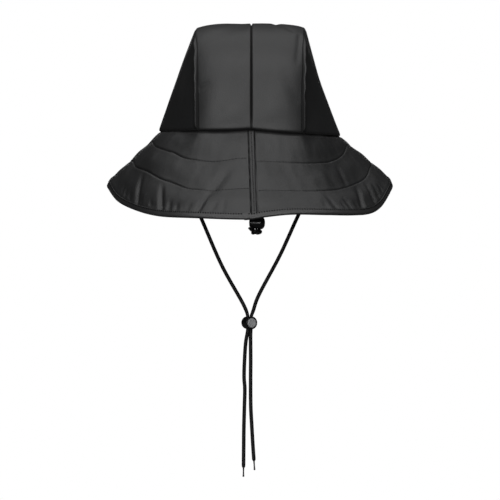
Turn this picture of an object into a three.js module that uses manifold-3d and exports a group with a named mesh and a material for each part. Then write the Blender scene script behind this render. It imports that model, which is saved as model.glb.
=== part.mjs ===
import * as THREE from 'three';
import { mergeVertices } from 'three/addons/utils/BufferGeometryUtils.js';
import Module from 'manifold-3d';

const wasm = await Module();
wasm.setup();

// Sizes are in millimetres, angles in degrees.
// +Z is up, +Y is the wearer's front, and the origin is the centre of the crown's opening.

// Crown
const CROWN_HEIGHT = 110.2;
const CROWN_HALF_DEPTH = 95;
const CROWN_SQUARENESS = 2.5;
const CROWN_WALL = 1.4;
const SEAM_DROP = 4.9;
const STRIP_BASE_HALF_WIDTH = 50;
const STRIP_WIDENING = 4.3;
const CENTRE_SEAM_X = 1.3;
const CENTRE_SEAM_DEPTH = 1.7;
const CENTRE_SEAM_REACH = 3;
const BASE_TUCK = 0.8;
const SEAM_GAP = 0.3;
const BRIM_SEAM_GAP = 0.5;
const SIDES = {
  left: { sign: -1, halfWidth: 91.5, bulge: 0.7 },
  right: { sign: 1, halfWidth: 91, bulge: -2.6 },
};

// Crown base line: a slight tilt to one side and a sag each side of the centre back.
const BASE_TILT = -2.4 / 91;
const BASE_SAG = 3.3;

// Brim
const BRIM_WALL = 1.4;
const ROW_FROM_EDGE = [35, 66.5];
const HEM = 7;
const PUFF = 0.8;
const BRIM_STEPS = 72;

// Brim edge by angle round from the centre back, the wearer's right side positive.
// radius and z place the edge, bow is how far the brim arches above its chord.
const BRIM_EDGE = [
  { angle: -180, radius: 150, z: -43, bow: 0 },
  { angle: -135, radius: 147, z: -41, bow: 0 },
  { angle: -110, radius: 143.5, z: -43, bow: 0 },
  { angle: -90, radius: 141.4, z: -50.6, bow: -1 },
  { angle: -75, radius: 143, z: -56, bow: -0.5 },
  { angle: -62, radius: 143.6, z: -68.6, bow: 3 },
  { angle: -47, radius: 143.4, z: -78.6, bow: 5 },
  { angle: -36, radius: 145, z: -83.2, bow: 0 },
  { angle: -22, radius: 148, z: -84.9, bow: -4 },
  { angle: 0, radius: 146, z: -86.6, bow: 0 },
  { angle: 6, radius: 147, z: -84.2, bow: -3 },
  { angle: 15, radius: 150, z: -81.8, bow: -6 },
  { angle: 28, radius: 152, z: -82, bow: -7 },
  { angle: 41, radius: 149, z: -82, bow: -5 },
  { angle: 53, radius: 144.5, z: -80, bow: -3 },
  { angle: 62, radius: 142.6, z: -74, bow: -1 },
  { angle: 75, radius: 142.6, z: -57.5, bow: 0 },
  { angle: 90, radius: 141, z: -49.8, bow: 0.5 },
  { angle: 110, radius: 143.5, z: -43, bow: 0 },
  { angle: 135, radius: 147, z: -41, bow: 0 },
];

// Binding tape, folded round the brim's edge
const BINDING_WIDTH = 6;
const BINDING_TAPE = 1;

// Felled strip over the centre back seam of the brim
const BACK_SEAM_WIDTH = 5.5;
const BACK_SEAM_THICKNESS = 1;
const BACK_SEAM_X = { top: 1.2, bottom: 4.2 };

// Chin cord and its lock
const CHIN_CORD_RADIUS = 1.7;
const CHIN_CORD_STEPS = 42;
const CHIN_TAB_WIDTH = 9;
const CHIN_CORD_POINTS = {
  left: [
    [-81.88, 0, -9.17],
    [-65.5, 0, -45.9],
    [-48.4, 0, -84.2],
    [-27.8, 0, -131.3],
    [-6.8, 0, -169.1],
    [-3.2, -0.6, -177.3],
    [-2.25, -0.93, -182],
    [-2.2, -0.93, -187.75],
    [-2.25, -0.93, -193.5],
    [-3, -0.75, -200],
    [-4.2, -0.3, -207],
    [-5.4, 0, -224.1],
    [-5.9, 0, -243.3],
    [-5.2, 0, -252.8],
    [-5.6, 0, -272],
    [-6.1, 0, -291.1],
    [-6.3, 0, -310.3],
    [-6.5, 0, -333.2],
  ],
  right: [
    [81.88, 0, -9.17],
    [65.7, 0, -45.4],
    [48.6, 0, -79.6],
    [30.2, 0, -119.8],
    [7.3, 0, -163.4],
    [3.2, 0.5, -175.8],
    [1.15, 0.93, -181.8],
    [1, 0.93, -187.75],
    [1, 0.93, -193.7],
    [0.6, 0.75, -200.5],
    [0.6, 0.3, -208],
    [0.7, 0, -225],
    [0.6, 0, -243.3],
    [0.8, 0, -272],
    [1.8, 0, -291.1],
    [2.9, 0, -310.3],
    [4, 0, -326.5],
  ],
};
const CORD_TIP = { radius: 0.8, length: 8.4 };
const LOCK = {
  radius: 6.4,
  back: -8.2,
  front: 4.9,
  boreRadius: 5.05,
  boreBottom: -6.95,
  plungerRadius: 4.75,
  plungerBack: -4.2,
  plungerFront: 6.2,
  slotHalfWidth: 3.85,
  slotHalfHeight: 2,
  plungerSlotFront: 4.5,
};
const CHIN_LOCK_CENTRE = [-0.6, 0, -187.75];
const CHIN_LOCK_ANGLE = 30;

// Size adjuster inside the centre back
const ADJUSTER_CORD_RADIUS = 1.2;
const ADJUSTER_LOCK_CENTRE = [5.9, -86, -88.9];
const ADJUSTER_LOCK_ANGLE = -100;
const ADJUSTER_CORD_OFFSET = 1.4;
const ADJUSTER_CORD_TOP = -9;
const ADJUSTER_CORD_BOTTOM = -95.4;
const ADJUSTER_TAB_WIDTH = 9;
const KNOT = { ring: 2.9, loop: 1.35, radius: 1.1, z: -98 };

const FABRIC = { color: 0x2c2c2d, roughness: 0.55, metalness: 0 };
const FINISH = {
  fabric: FABRIC,
  tape: { color: 0x1d1d1e, roughness: 0.6, metalness: 0 },
  cord: { color: 0x151516, roughness: 0.8, metalness: 0 },
  plastic: { color: 0x111112, roughness: 0.35, metalness: 0 },
  plunger: { color: 0x959698, roughness: 0.45, metalness: 0 },
};

const radians = THREE.MathUtils.degToRad;
const { lerp, clamp } = THREE.MathUtils;
const hat = new THREE.Group();

function addPiece(name, geometry, finish) {
  const piece = new THREE.Mesh(geometry, new THREE.MeshStandardMaterial(FINISH[finish]));
  piece.name = name;
  hat.add(piece);
  return piece;
}

// One closed body from loose triangles, with its faces pointing out
function closeBody(points, faces) {
  const loose = new THREE.BufferGeometry();
  loose.setAttribute('position', new THREE.Float32BufferAttribute(points.flatMap((p) => p.toArray()), 3));
  loose.setIndex(faces.flat());
  const merged = mergeVertices(loose, 0.001);
  const position = merged.getAttribute('position');
  const index = Array.from(merged.index.array);
  const kept = [];
  let volume = 0;
  const a = new THREE.Vector3();
  const b = new THREE.Vector3();
  const c = new THREE.Vector3();
  for (let i = 0; i < index.length; i += 3) {
    const [p, q, r] = index.slice(i, i + 3);
    if (p !== q && q !== r && r !== p) {
      kept.push([p, q, r]);
      a.fromBufferAttribute(position, p);
      b.fromBufferAttribute(position, q);
      c.fromBufferAttribute(position, r);
      volume += a.dot(b.cross(c));
    }
  }
  merged.setIndex(volume < 0 ? kept.flatMap(([p, q, r]) => [p, r, q]) : kept.flat());
  merged.computeVertexNormals();
  return merged;
}

// A wall between two grids of points, either open-ended or joined round into a ring
function wallBetween(outer, inner, ring) {
  const rows = outer.length;
  const columns = outer[0].length;
  const points = [...outer.flat(), ...inner.flat()];
  const out = (i, j) => (i % rows) * columns + j;
  const into = (i, j) => rows * columns + out(i, j);
  const faces = [];
  const quad = (p, q, r, s) => faces.push([p, q, r], [p, r, s]);
  const spans = ring ? rows : rows - 1;
  const last = columns - 1;
  for (let i = 0; i < spans; i += 1) {
    for (let j = 0; j < last; j += 1) {
      quad(out(i, j), out(i + 1, j), out(i + 1, j + 1), out(i, j + 1));
      quad(into(i, j), into(i, j + 1), into(i + 1, j + 1), into(i + 1, j));
    }
    quad(out(i, 0), into(i, 0), into(i + 1, 0), out(i + 1, 0));
    quad(out(i, last), out(i + 1, last), into(i + 1, last), into(i, last));
  }
  if (!ring) {
    const end = rows - 1;
    for (let j = 0; j < last; j += 1) {
      quad(out(0, j), out(0, j + 1), into(0, j + 1), into(0, j));
      quad(out(end, j), into(end, j), into(end, j + 1), out(end, j + 1));
    }
  }
  return closeBody(points, faces);
}

// A ring swept from closed sections
function sweepRing(sections) {
  const count = sections[0].length;
  const points = sections.flat();
  const faces = [];
  sections.forEach((_, i) => {
    const here = i * count;
    const next = ((i + 1) % sections.length) * count;
    for (let k = 0; k < count; k += 1) {
      const l = (k + 1) % count;
      faces.push([here + k, next + k, next + l], [here + k, next + l, here + l]);
    }
  });
  return closeBody(points, faces);
}

// How far the crown's base line lies off its plane at a point round it
function baseLift(x, y) {
  const angle = THREE.MathUtils.radToDeg(Math.atan2(Math.hypot(x, 4), -y));
  const sag = angle < 90 ? BASE_SAG * Math.sin(Math.PI * (angle / 90) ** 0.63) - 1 : -1;
  return BASE_TILT * x - sag;
}

function lifted(x, y, z) {
  const fade = clamp(1 - z / CROWN_HEIGHT, 0, 1) ** 2;
  return new THREE.Vector3(x, y, z + baseLift(x, y) * fade);
}

function stripHalfWidth(turn) {
  return STRIP_BASE_HALF_WIDTH + STRIP_WIDENING * Math.sin(turn) ** 2;
}

// The crown's front to back arc: an ellipse squared off by CROWN_SQUARENESS
function arcPoint(x, turn, inset) {
  const power = 2 / CROWN_SQUARENESS;
  const along = Math.cos(turn);
  const y = -(CROWN_HALF_DEPTH - inset) * Math.sign(along) * Math.abs(along) ** power;
  const z = (CROWN_HEIGHT - inset) * Math.max(Math.sin(turn), 0) ** power;
  return lifted(x, y, z);
}

function stripDrop(x, halfWidth) {
  return SEAM_DROP * Math.abs(x / halfWidth) ** 4.5;
}

const ARC_STOPS = [0, 0.008, 0.035, 0.07, 0.11, 0.155, 0.2, 0.25, 0.3, 0.35, 0.4, 0.45, 0.5];
const TURNS = [...ARC_STOPS, ...ARC_STOPS.slice(0, -1).reverse().map((s) => 1 - s)];
const STRIP_STOPS = [0, 0.06, 0.25, 0.5, 0.74, 0.9, 1];
const PANEL_STOPS = [0, 0.05, 0.25, 0.5, 0.75, 1];

const baseTuck = (row) => (row === 0 || row === TURNS.length - 1 ? BASE_TUCK : 0);

function stripGeometry({ sign }) {
  const start = CENTRE_SEAM_X + sign * SEAM_GAP / 2;
  const grid = (depth) => TURNS.map((stop, row) => {
    const turn = Math.PI * stop;
    const halfWidth = stripHalfWidth(turn);
    return STRIP_STOPS.map((k) => {
      const x = lerp(start, sign * halfWidth, k);
      const seam = CENTRE_SEAM_DEPTH * Math.exp(-(((x - CENTRE_SEAM_X) / CENTRE_SEAM_REACH) ** 2));
      return arcPoint(x, turn, stripDrop(x, halfWidth) + seam + depth + baseTuck(row));
    });
  });
  return wallBetween(grid(0), grid(CROWN_WALL), false);
}

// Base line of a side panel, from the back seam to the front seam
function panelBase(halfWidth, stop, inset) {
  const turn = Math.PI * stop;
  const start = STRIP_BASE_HALF_WIDTH + SEAM_GAP;
  const depth = CROWN_HALF_DEPTH - SEAM_DROP - inset;
  return {
    x: start + (halfWidth - start - inset) * Math.sin(turn),
    y: -depth * (0.3 * Math.cos(turn) + 0.7 * (1 - 2 * stop)),
  };
}

function panelGeometry({ sign, halfWidth, bulge }) {
  const grid = (inside) => TURNS.map((stop, row) => {
    const turn = Math.PI * stop;
    const seamInset = inside ? 2.2 + 1.4 * Math.sin(turn) ** 2 : 0;
    const baseInset = inside ? lerp(2.2, CROWN_WALL, Math.sin(turn) ** 0.5) : 0;
    const seam = arcPoint(stripHalfWidth(turn) + SEAM_GAP, turn, SEAM_DROP + seamInset + baseTuck(row));
    return PANEL_STOPS.map((k, column) => {
      const tuck = Math.max(column === 0 ? BASE_TUCK : 0, baseTuck(row));
      const base = panelBase(halfWidth, stop, baseInset + tuck);
      const fade = baseLift(sign * seam.x, seam.y) - baseLift(seam.x, seam.y);
      const seamZ = seam.z + fade * clamp(1 - seam.z / CROWN_HEIGHT, 0, 1) ** 2;
      const baseZ = baseLift(sign * base.x, base.y);
      const round = bulge * Math.sin(Math.PI * k) * Math.sin(turn);
      return new THREE.Vector3(
        sign * (lerp(base.x, seam.x, k) + round),
        lerp(base.y, seam.y, k),
        lerp(baseZ, seamZ, k),
      );
    });
  });
  return wallBetween(grid(false), grid(true), false);
}

Object.entries(SIDES).forEach(([side, shape]) => {
  addPiece(`crown_strip_${side}`, stripGeometry(shape), 'fabric');
  addPiece(`crown_side_${side}`, panelGeometry(shape), 'fabric');
});

// Distance from the axis to the crown's base line, at an angle round from the centre back
function baseRadius(angle) {
  const { halfWidth } = angle < 0 ? SIDES.left : SIDES.right;
  const around = Math.abs(angle) > 90 ? 180 - Math.abs(angle) : Math.abs(angle);
  const pointAt = (p) => {
    if (p < 0.5) {
      const x = STRIP_BASE_HALF_WIDTH * 2 * p;
      return { x, y: -(CROWN_HALF_DEPTH - stripDrop(x, STRIP_BASE_HALF_WIDTH)) };
    }
    return panelBase(halfWidth, p - 0.5, 0);
  };
  let low = 0;
  let high = 1;
  for (let i = 0; i < 30; i += 1) {
    const middle = (low + high) / 2;
    const { x, y } = pointAt(middle);
    if (Math.atan2(x, -y) < radians(around)) low = middle;
    else high = middle;
  }
  const { x, y } = pointAt(low);
  return Math.hypot(x, y);
}

// The edge table read smoothly at any angle
function edgeAt(angle) {
  const count = BRIM_EDGE.length;
  const row = (i) => {
    const turns = Math.floor(i / count);
    const entry = BRIM_EDGE[i - turns * count];
    return { ...entry, angle: entry.angle + 360 * turns };
  };
  let i = 0;
  while (row(i + 1).angle <= angle) i += 1;
  const [before, start, end, after] = [row(i - 1), row(i), row(i + 1), row(i + 2)];
  const span = end.angle - start.angle;
  const t = (angle - start.angle) / span;
  const read = (key) => {
    const slopeIn = (end[key] - before[key]) / (end.angle - before.angle) * span;
    const slopeOut = (after[key] - start[key]) / (after.angle - start.angle) * span;
    return (2 * t ** 3 - 3 * t ** 2 + 1) * start[key] + (t ** 3 - 2 * t ** 2 + t) * slopeIn
      + (3 * t ** 2 - 2 * t ** 3) * end[key] + (t ** 3 - t ** 2) * slopeOut;
  };
  return { radius: read('radius'), z: read('z'), bow: read('bow') };
}

// The brim's section at one angle, measured along the cloth from its edge
function brimSection(angle) {
  const turn = radians(angle);
  const direction = { x: Math.sin(turn), y: -Math.cos(turn) };
  const edge = edgeAt(angle);
  const rim = baseRadius(angle) - BASE_TUCK - 0.3;
  const topZ = baseLift(rim * direction.x, rim * direction.y) - BRIM_SEAM_GAP;
  const firstSlope = Math.atan2(topZ - edge.z, edge.radius - rim) + Math.atan(4 * edge.bow / 90);
  const cut = BRIM_WALL / Math.sin(firstSlope);
  const start = new THREE.Vector2(rim - cut / 2, topZ);
  const chord = new THREE.Vector2(edge.radius, edge.z).sub(start);
  const slope = Math.atan2(-chord.y, chord.x);
  const droop = radians(4 + 16 * Math.sin(turn) ** 2);
  const hemSlope = slope + 0.8 * Math.atan(4 * edge.bow / chord.length()) + droop;
  const hem = new THREE.Vector2(
    edge.radius - HEM * Math.cos(hemSlope),
    edge.z + HEM * Math.sin(hemSlope),
  );
  const control = start.clone().add(hem).multiplyScalar(0.5)
    .add(new THREE.Vector2(Math.sin(slope), Math.cos(slope)).multiplyScalar(2 * edge.bow));
  const body = new THREE.QuadraticBezierCurve(start, control, hem);
  const length = body.getLength() + HEM;
  const place = (radius, z) => new THREE.Vector3(radius * direction.x, radius * direction.y, z);
  const at = (fromEdge, height) => {
    let point = null;
    let lean = hemSlope;
    if (fromEdge <= HEM) {
      point = new THREE.Vector2(
        edge.radius - fromEdge * Math.cos(hemSlope),
        edge.z + fromEdge * Math.sin(hemSlope),
      );
    } else {
      const u = clamp((length - fromEdge) / (length - HEM), 0, 1);
      const tangent = body.getTangentAt(u);
      point = body.getPointAt(u);
      lean = Math.atan2(-tangent.y, tangent.x);
    }
    return place(point.x + height * Math.sin(lean), point.y + height * Math.cos(lean));
  };
  return { at, length, top: place(rim, topZ), under: place(rim - cut, topZ) };
}

// Rise of the cloth between two stitched rows
function puffAt(fromEdge, length) {
  const rows = [HEM, ...ROW_FROM_EDGE, length];
  const band = rows.findIndex((row, i) => fromEdge >= row && fromEdge <= rows[i + 1]);
  if (band < 0) return 0;
  const width = rows[band + 1] - rows[band];
  const height = PUFF * clamp(width / 25, 0, 1);
  return height * Math.sin(Math.PI * (fromEdge - rows[band]) / width) ** 2;
}

const SHELL_END = 1.2;
const sections = Array.from({ length: BRIM_STEPS }, (_, i) => brimSection(i * 360 / BRIM_STEPS - 180));
const shellStops = ({ length }) => [
  (length + ROW_FROM_EDGE[1]) / 2,
  ROW_FROM_EDGE[1],
  (ROW_FROM_EDGE[0] + ROW_FROM_EDGE[1]) / 2,
  ROW_FROM_EDGE[0],
  (ROW_FROM_EDGE[0] + HEM) / 2,
  HEM,
  SHELL_END,
];
const shellRow = (section, height) => shellStops(section)
  .map((stop) => section.at(stop, puffAt(stop, section.length) + height));
addPiece('brim', wallBetween(
  sections.map((section) => [section.top, ...shellRow(section, BRIM_WALL / 2)]),
  sections.map((section) => [section.under, ...shellRow(section, -BRIM_WALL / 2)]),
  true,
), 'fabric');

// Binding tape: two lips and the fold between them
const lip = BRIM_WALL / 2 + SEAM_GAP;
const outside = lip + BINDING_TAPE;
const bindingProfile = [
  [BINDING_WIDTH, outside],
  [0.8, outside],
  [0, outside - 1],
  [0, 1 - outside],
  [0.8, -outside],
  [BINDING_WIDTH, -outside],
  [BINDING_WIDTH, -lip],
  [0.9, -lip],
  [0.9, lip],
  [BINDING_WIDTH, lip],
];
addPiece('brim_binding', sweepRing(
  sections.map(({ at }) => bindingProfile.map(([fromEdge, height]) => at(fromEdge, height))),
), 'tape');

// Felled strip, laid along the brim's outer face at the centre back
const backSections = sections.slice(BRIM_STEPS / 2 - 2, BRIM_STEPS / 2 + 4);
function faceAt(section, fromEdge, height) {
  const stops = [section.length, ...shellStops(section)];
  const i = stops.findIndex((stop, n) => stop >= fromEdge && stops[n + 1] < fromEdge);
  const ends = stops.slice(i, i + 2)
    .map((stop) => section.at(stop, puffAt(stop, section.length) + BRIM_WALL / 2 + height));
  return ends[0].lerp(ends[1], (stops[i] - fromEdge) / (stops[i] - stops[i + 1]));
}
function backSeamRow(k, height) {
  const rows = backSections.map((section) => {
    const stops = [section.length - 2.5, ...shellStops(section).slice(0, -2), HEM + 0.4];
    return faceAt(section, stops[k], 0.5 + height);
  });
  const centre = lerp(BACK_SEAM_X.top, BACK_SEAM_X.bottom, k / 6);
  return [-0.5, 0, 0.5].map((side) => {
    const x = centre + side * BACK_SEAM_WIDTH;
    const i = rows.findIndex((point, n) => point.x <= x && rows[n + 1].x > x);
    return rows[i].clone().lerp(rows[i + 1], (x - rows[i].x) / (rows[i + 1].x - rows[i].x));
  });
}
const backSeamGrid = (height) => Array.from({ length: 7 }, (_, k) => backSeamRow(k, height));
addPiece('brim_back_seam', wallBetween(
  backSeamGrid(BACK_SEAM_THICKNESS),
  backSeamGrid(0),
  false,
), 'fabric');

function prismGeometry(outline, depth) {
  const shape = new THREE.Shape(outline.map(([x, y]) => new THREE.Vector2(x, y)));
  const prism = new THREE.ExtrudeGeometry(shape, { depth, bevelEnabled: false });
  prism.translate(0, 0, -depth / 2);
  return prism;
}

function tubeGeometry(points, radius, steps, sides) {
  const path = new THREE.CatmullRomCurve3(points.map((p) => new THREE.Vector3(...p)));
  const corners = Array.from({ length: sides }, (_, i) => new THREE.Vector2(
    radius * Math.cos(2 * Math.PI * i / sides),
    radius * Math.sin(2 * Math.PI * i / sides),
  ));
  return new THREE.ExtrudeGeometry(new THREE.Shape(corners), { steps, extrudePath: path });
}

// Cloth tabs at the sides, hanging from the seam between crown and brim
Object.entries(SIDES).forEach(([side, { sign }]) => {
  const { under } = sections[sign < 0 ? BRIM_STEPS / 4 : 3 * BRIM_STEPS / 4];
  const seat = Math.abs(under.x) - SEAM_GAP;
  const outline = [
    [seat, under.z + 3.5],
    [seat, under.z - 2],
    [84.01, -9.79],
    [79.99, -8.01],
    [seat - 4.4, under.z + 3.5],
  ];
  const tab = addPiece(`chin_cord_tab_${side}`, prismGeometry(
    outline.map(([x, z]) => [sign * x, z]),
    CHIN_TAB_WIDTH,
  ), 'tape');
  tab.rotation.x = Math.PI / 2;
});

// Chin cord and the thin sealed tips of its ends
Object.entries(CHIN_CORD_POINTS).forEach(([side, points]) => {
  addPiece(`chin_cord_${side}`, tubeGeometry(points, CHIN_CORD_RADIUS, CHIN_CORD_STEPS, 8), 'cord');
  const end = new THREE.Vector3(...points.at(-1));
  const way = end.clone().sub(new THREE.Vector3(...points.at(-2))).normalize();
  const { radius, length } = CORD_TIP;
  const profile = [
    [0, 0], [radius, 0], [radius, length - 2], [radius + 0.15, length - 0.8], [0.5, length], [0, length],
  ];
  const tip = addPiece(`chin_cord_tip_${side}`, new THREE.LatheGeometry(
    profile.map(([x, y]) => new THREE.Vector2(x, y)),
    8,
  ), 'cord');
  tip.quaternion.setFromUnitVectors(new THREE.Vector3(0, 1, 0), way);
  tip.position.copy(end).addScaledVector(way, SEAM_GAP);
});

function toSolid(geometry) {
  const bare = geometry.clone();
  bare.deleteAttribute('normal');
  bare.deleteAttribute('uv');
  const merged = mergeVertices(bare, 0.001);
  return new wasm.Manifold(new wasm.Mesh({
    numProp: 3,
    vertProperties: new Float32Array(merged.getAttribute('position').array),
    triVerts: new Uint32Array(merged.index.array),
  }));
}

function fromSolid(solid) {
  const { vertProperties, triVerts } = solid.getMesh();
  const geometry = new THREE.BufferGeometry();
  geometry.setAttribute('position', new THREE.BufferAttribute(vertProperties, 3));
  geometry.setIndex(new THREE.BufferAttribute(triVerts, 1));
  geometry.computeVertexNormals();
  return geometry;
}

// A turned piece along +Y with the cord's slot cut through it along Z
function slottedGeometry(profile, slotBack, slotFront) {
  const turned = new THREE.LatheGeometry(profile.map(([x, y]) => new THREE.Vector2(x, y)), 20);
  const slot = new THREE.BoxGeometry(2 * LOCK.slotHalfWidth, slotFront - slotBack, 4 * LOCK.radius);
  slot.translate(0, (slotFront + slotBack) / 2, 0);
  return fromSolid(toSolid(turned).subtract(toSolid(slot)));
}

const lockBody = [
  [0, LOCK.back],
  [3.6, LOCK.back + 0.3],
  [5.3, LOCK.back + 1.2],
  [LOCK.radius, LOCK.back + 2.8],
  [LOCK.radius, LOCK.front - 0.7],
  [LOCK.radius - 0.4, LOCK.front],
  [LOCK.boreRadius, LOCK.front],
  [LOCK.boreRadius, LOCK.boreBottom],
  [0, LOCK.boreBottom],
];
const lockPlunger = [
  [0, LOCK.plungerBack],
  [LOCK.plungerRadius, LOCK.plungerBack],
  [LOCK.plungerRadius, LOCK.plungerFront - 0.7],
  [LOCK.plungerRadius - 0.4, LOCK.plungerFront],
  [3.3, LOCK.plungerFront],
  [2.6, LOCK.plungerFront - 0.6],
  [0, LOCK.plungerFront - 0.9],
];

// angle turns the lock's push button from straight back towards the wearer's right
function addLock(name, centre, angle) {
  const turn = radians(angle);
  const across = new THREE.Vector3(Math.cos(turn), Math.sin(turn), 0);
  const along = new THREE.Vector3(Math.sin(turn), -Math.cos(turn), 0);
  const frame = new THREE.Matrix4().makeBasis(across, along, new THREE.Vector3(0, 0, -1));
  const bodySlot = LOCK.slotHalfHeight;
  const pieces = [
    addPiece(`${name}_body`, slottedGeometry(lockBody, -bodySlot, bodySlot), 'plastic'),
    addPiece(`${name}_plunger`, slottedGeometry(lockPlunger, -bodySlot, LOCK.plungerSlotFront), 'plunger'),
  ];
  pieces.forEach((piece) => {
    piece.quaternion.setFromRotationMatrix(frame);
    piece.position.set(...centre);
  });
  return across;
}

addLock('chin_lock', CHIN_LOCK_CENTRE, CHIN_LOCK_ANGLE);
const adjusterAcross = addLock('adjuster_lock', ADJUSTER_LOCK_CENTRE, ADJUSTER_LOCK_ANGLE);

// Adjuster: its tab on the seam between crown and brim, two strands, and the knot below the lock
const [adjusterX, adjusterY] = ADJUSTER_LOCK_CENTRE;
const tabSeat = CENTRE_SEAM_DEPTH + BASE_TUCK + CROWN_WALL + SEAM_GAP - CROWN_HALF_DEPTH;
const adjusterTab = addPiece('adjuster_tab', prismGeometry([
  [tabSeat, 3],
  [tabSeat, -3],
  [adjusterY - 3.4, ADJUSTER_CORD_TOP + SEAM_GAP],
  [adjusterY + 3.4, ADJUSTER_CORD_TOP + SEAM_GAP],
  [tabSeat + 3.2, 3],
], ADJUSTER_TAB_WIDTH), 'tape');
adjusterTab.quaternion.setFromRotationMatrix(new THREE.Matrix4().makeBasis(
  new THREE.Vector3(0, 1, 0),
  new THREE.Vector3(0, 0, 1),
  new THREE.Vector3(1, 0, 0),
));
adjusterTab.position.x = adjusterX;

[['front', -1], ['back', 1]].forEach(([place, sign]) => {
  const x = adjusterX + sign * ADJUSTER_CORD_OFFSET * adjusterAcross.x;
  const y = adjusterY + sign * ADJUSTER_CORD_OFFSET * adjusterAcross.y;
  const points = [[x, y, ADJUSTER_CORD_TOP], [x, y, -52], [x, y, ADJUSTER_CORD_BOTTOM]];
  addPiece(`adjuster_cord_${place}`, tubeGeometry(points, ADJUSTER_CORD_RADIUS, 12, 8), 'cord');
});

class KnotCurve extends THREE.Curve {
  getPoint(t, target = new THREE.Vector3()) {
    const turn = 2 * Math.PI * t;
    const reach = KNOT.ring + KNOT.loop * Math.cos(3 * turn);
    return target.set(reach * Math.cos(2 * turn), reach * Math.sin(2 * turn), KNOT.loop * Math.sin(3 * turn));
  }
}
const knotTube = new THREE.TubeGeometry(new KnotCurve(), 44, KNOT.radius, 6, true);
knotTube.deleteAttribute('normal');
knotTube.deleteAttribute('uv');
const knot = addPiece('adjuster_knot', mergeVertices(knotTube, 0.001), 'cord');
knot.geometry.computeVertexNormals();
knot.position.set(adjusterX, adjusterY, KNOT.z);

addPiece('adjuster_cord_end', tubeGeometry(
  [[2.5, -90.9, -97.2], [0.7, -92.7, -95.7], [-1.2, -93.9, -93.6]],
  1.1,
  4,
  8,
), 'cord');

export default hat;
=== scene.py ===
"""A soft rain hat for fishing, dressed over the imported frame.

The hat's own lengths are in millimetres, as a pattern cutter writes them, and
each piece is brought to metres when its mesh is made. +Z is up, +Y is the
wearer's front, and angles round the brim start at the centre back.
"""

import bisect
import logging
import math
from dataclasses import dataclass, field, replace
from enum import Enum
from functools import cache
from typing import Callable, Sequence, TypeVar

import bmesh
import bpy
from mathutils import Matrix, Vector, noise


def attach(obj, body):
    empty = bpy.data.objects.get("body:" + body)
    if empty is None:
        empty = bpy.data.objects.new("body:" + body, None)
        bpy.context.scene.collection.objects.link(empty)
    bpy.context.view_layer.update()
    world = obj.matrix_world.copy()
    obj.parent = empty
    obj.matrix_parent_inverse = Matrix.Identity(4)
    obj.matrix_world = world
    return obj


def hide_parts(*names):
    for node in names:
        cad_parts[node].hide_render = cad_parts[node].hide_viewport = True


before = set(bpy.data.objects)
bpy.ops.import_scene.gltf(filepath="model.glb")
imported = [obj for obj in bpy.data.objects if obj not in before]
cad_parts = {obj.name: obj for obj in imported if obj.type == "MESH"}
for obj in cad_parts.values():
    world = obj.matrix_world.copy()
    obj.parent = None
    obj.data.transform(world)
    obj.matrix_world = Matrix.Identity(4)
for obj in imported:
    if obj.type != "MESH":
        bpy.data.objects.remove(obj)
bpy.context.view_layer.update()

MM = 0.001
LOG = logging.getLogger("fishing_hat")

Point = tuple[float, float, float]
Placed = tuple[Point, tuple[float, float], float]
Rows = tuple[tuple[float, ...], ...]
Value = TypeVar("Value", float, Vector)
Element = bmesh.types.BMFace | bmesh.types.BMEdge


class Side(Enum):
    """Which half of the hat, by the sign of its X."""

    LEFT = -1
    RIGHT = 1

    @property
    def word(self) -> str:
        """The side's name in lower case."""
        return self.name.lower()


class Body(Enum):
    """The bodies of the frame that pieces ride on."""

    HAT = "hat"
    CHIN_PLUNGER = "chin_plunger"
    ADJUSTER_PLUNGER = "adjuster_plunger"


class Part(Enum):
    """The parts of a mesh that are selected by hand."""

    FACE = "FACE"
    EDGE = "EDGE"


class Slot(Enum):
    """The record's material slots."""

    CLOTH = "coated_fabric"
    TAPE = "binding_tape"
    CORD = "cord"
    BLACK_PLASTIC = "lock_plastic"
    GREY_PLASTIC = "grey_plastic"


def mix(a: float, b: float, t: float) -> float:
    """The value t of the way from a to b."""
    return a + (b - a) * t


def clamp(value: float, low: float = 0.0, high: float = 1.0) -> float:
    """The value held between low and high."""
    return max(low, min(high, value))


def smooth(value: float, low: float, high: float) -> float:
    """A soft step from 0 at low to 1 at high."""
    t = clamp((value - low) / (high - low))
    return t * t * (3 - 2 * t)


def keyed(keys: Sequence[tuple[float, float]], at: float) -> float:
    """Reads a short list of (place, value) keys.

    Args:
        keys: Keys in rising order of place.
        at: Where to read them.

    Returns:
        The value there, softly blended between its two keys.
    """
    if at <= keys[0][0]:
        return keys[0][1]
    for (a, low), (b, high) in zip(keys, keys[1:]):
        if at <= b:
            return mix(low, high, smooth(at, a, b))
    return keys[-1][1]


def hermite(t: float, start: Value, out: Value, end: Value, into: Value) -> Value:
    """A smooth blend of two ends that leaves and arrives at given rates.

    Args:
        t: How far along it is, from 0 to 1.
        start: The value at the start.
        out: The rate of change there.
        end: The value at the end.
        into: The rate of change there.

    Returns:
        The value at t.
    """
    return (
        (2 * t**3 - 3 * t**2 + 1) * start
        + (t**3 - 2 * t**2 + t) * out
        + (3 * t**2 - 2 * t**3) * end
        + (t**3 - t**2) * into
    )


def running_lengths(line: Sequence[Sequence[float]]) -> list[float]:
    """The length along a line of points, from its start to each of them.

    Args:
        line: The line's points.

    Returns:
        One length for each point, the first of them 0.
    """
    lengths = [0.0]
    for a, b in zip(line, line[1:]):
        lengths.append(lengths[-1] + math.dist(a, b))
    return lengths


def stand_off(angle: float, middle: Point, height: float) -> Vector:
    """A point off the brim's middle line.

    Args:
        angle: Angle round from the centre back.
        middle: The middle line's (radius, z, slope) there.
        height: Height above the middle line, square to it.

    Returns:
        The point.
    """
    radius, z, slope = middle
    reach = radius + height * math.sin(slope)
    turn = math.radians(angle)
    return Vector(
        (reach * math.sin(turn), -reach * math.cos(turn), z + height * math.cos(slope))
    )


# ----- forms


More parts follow.
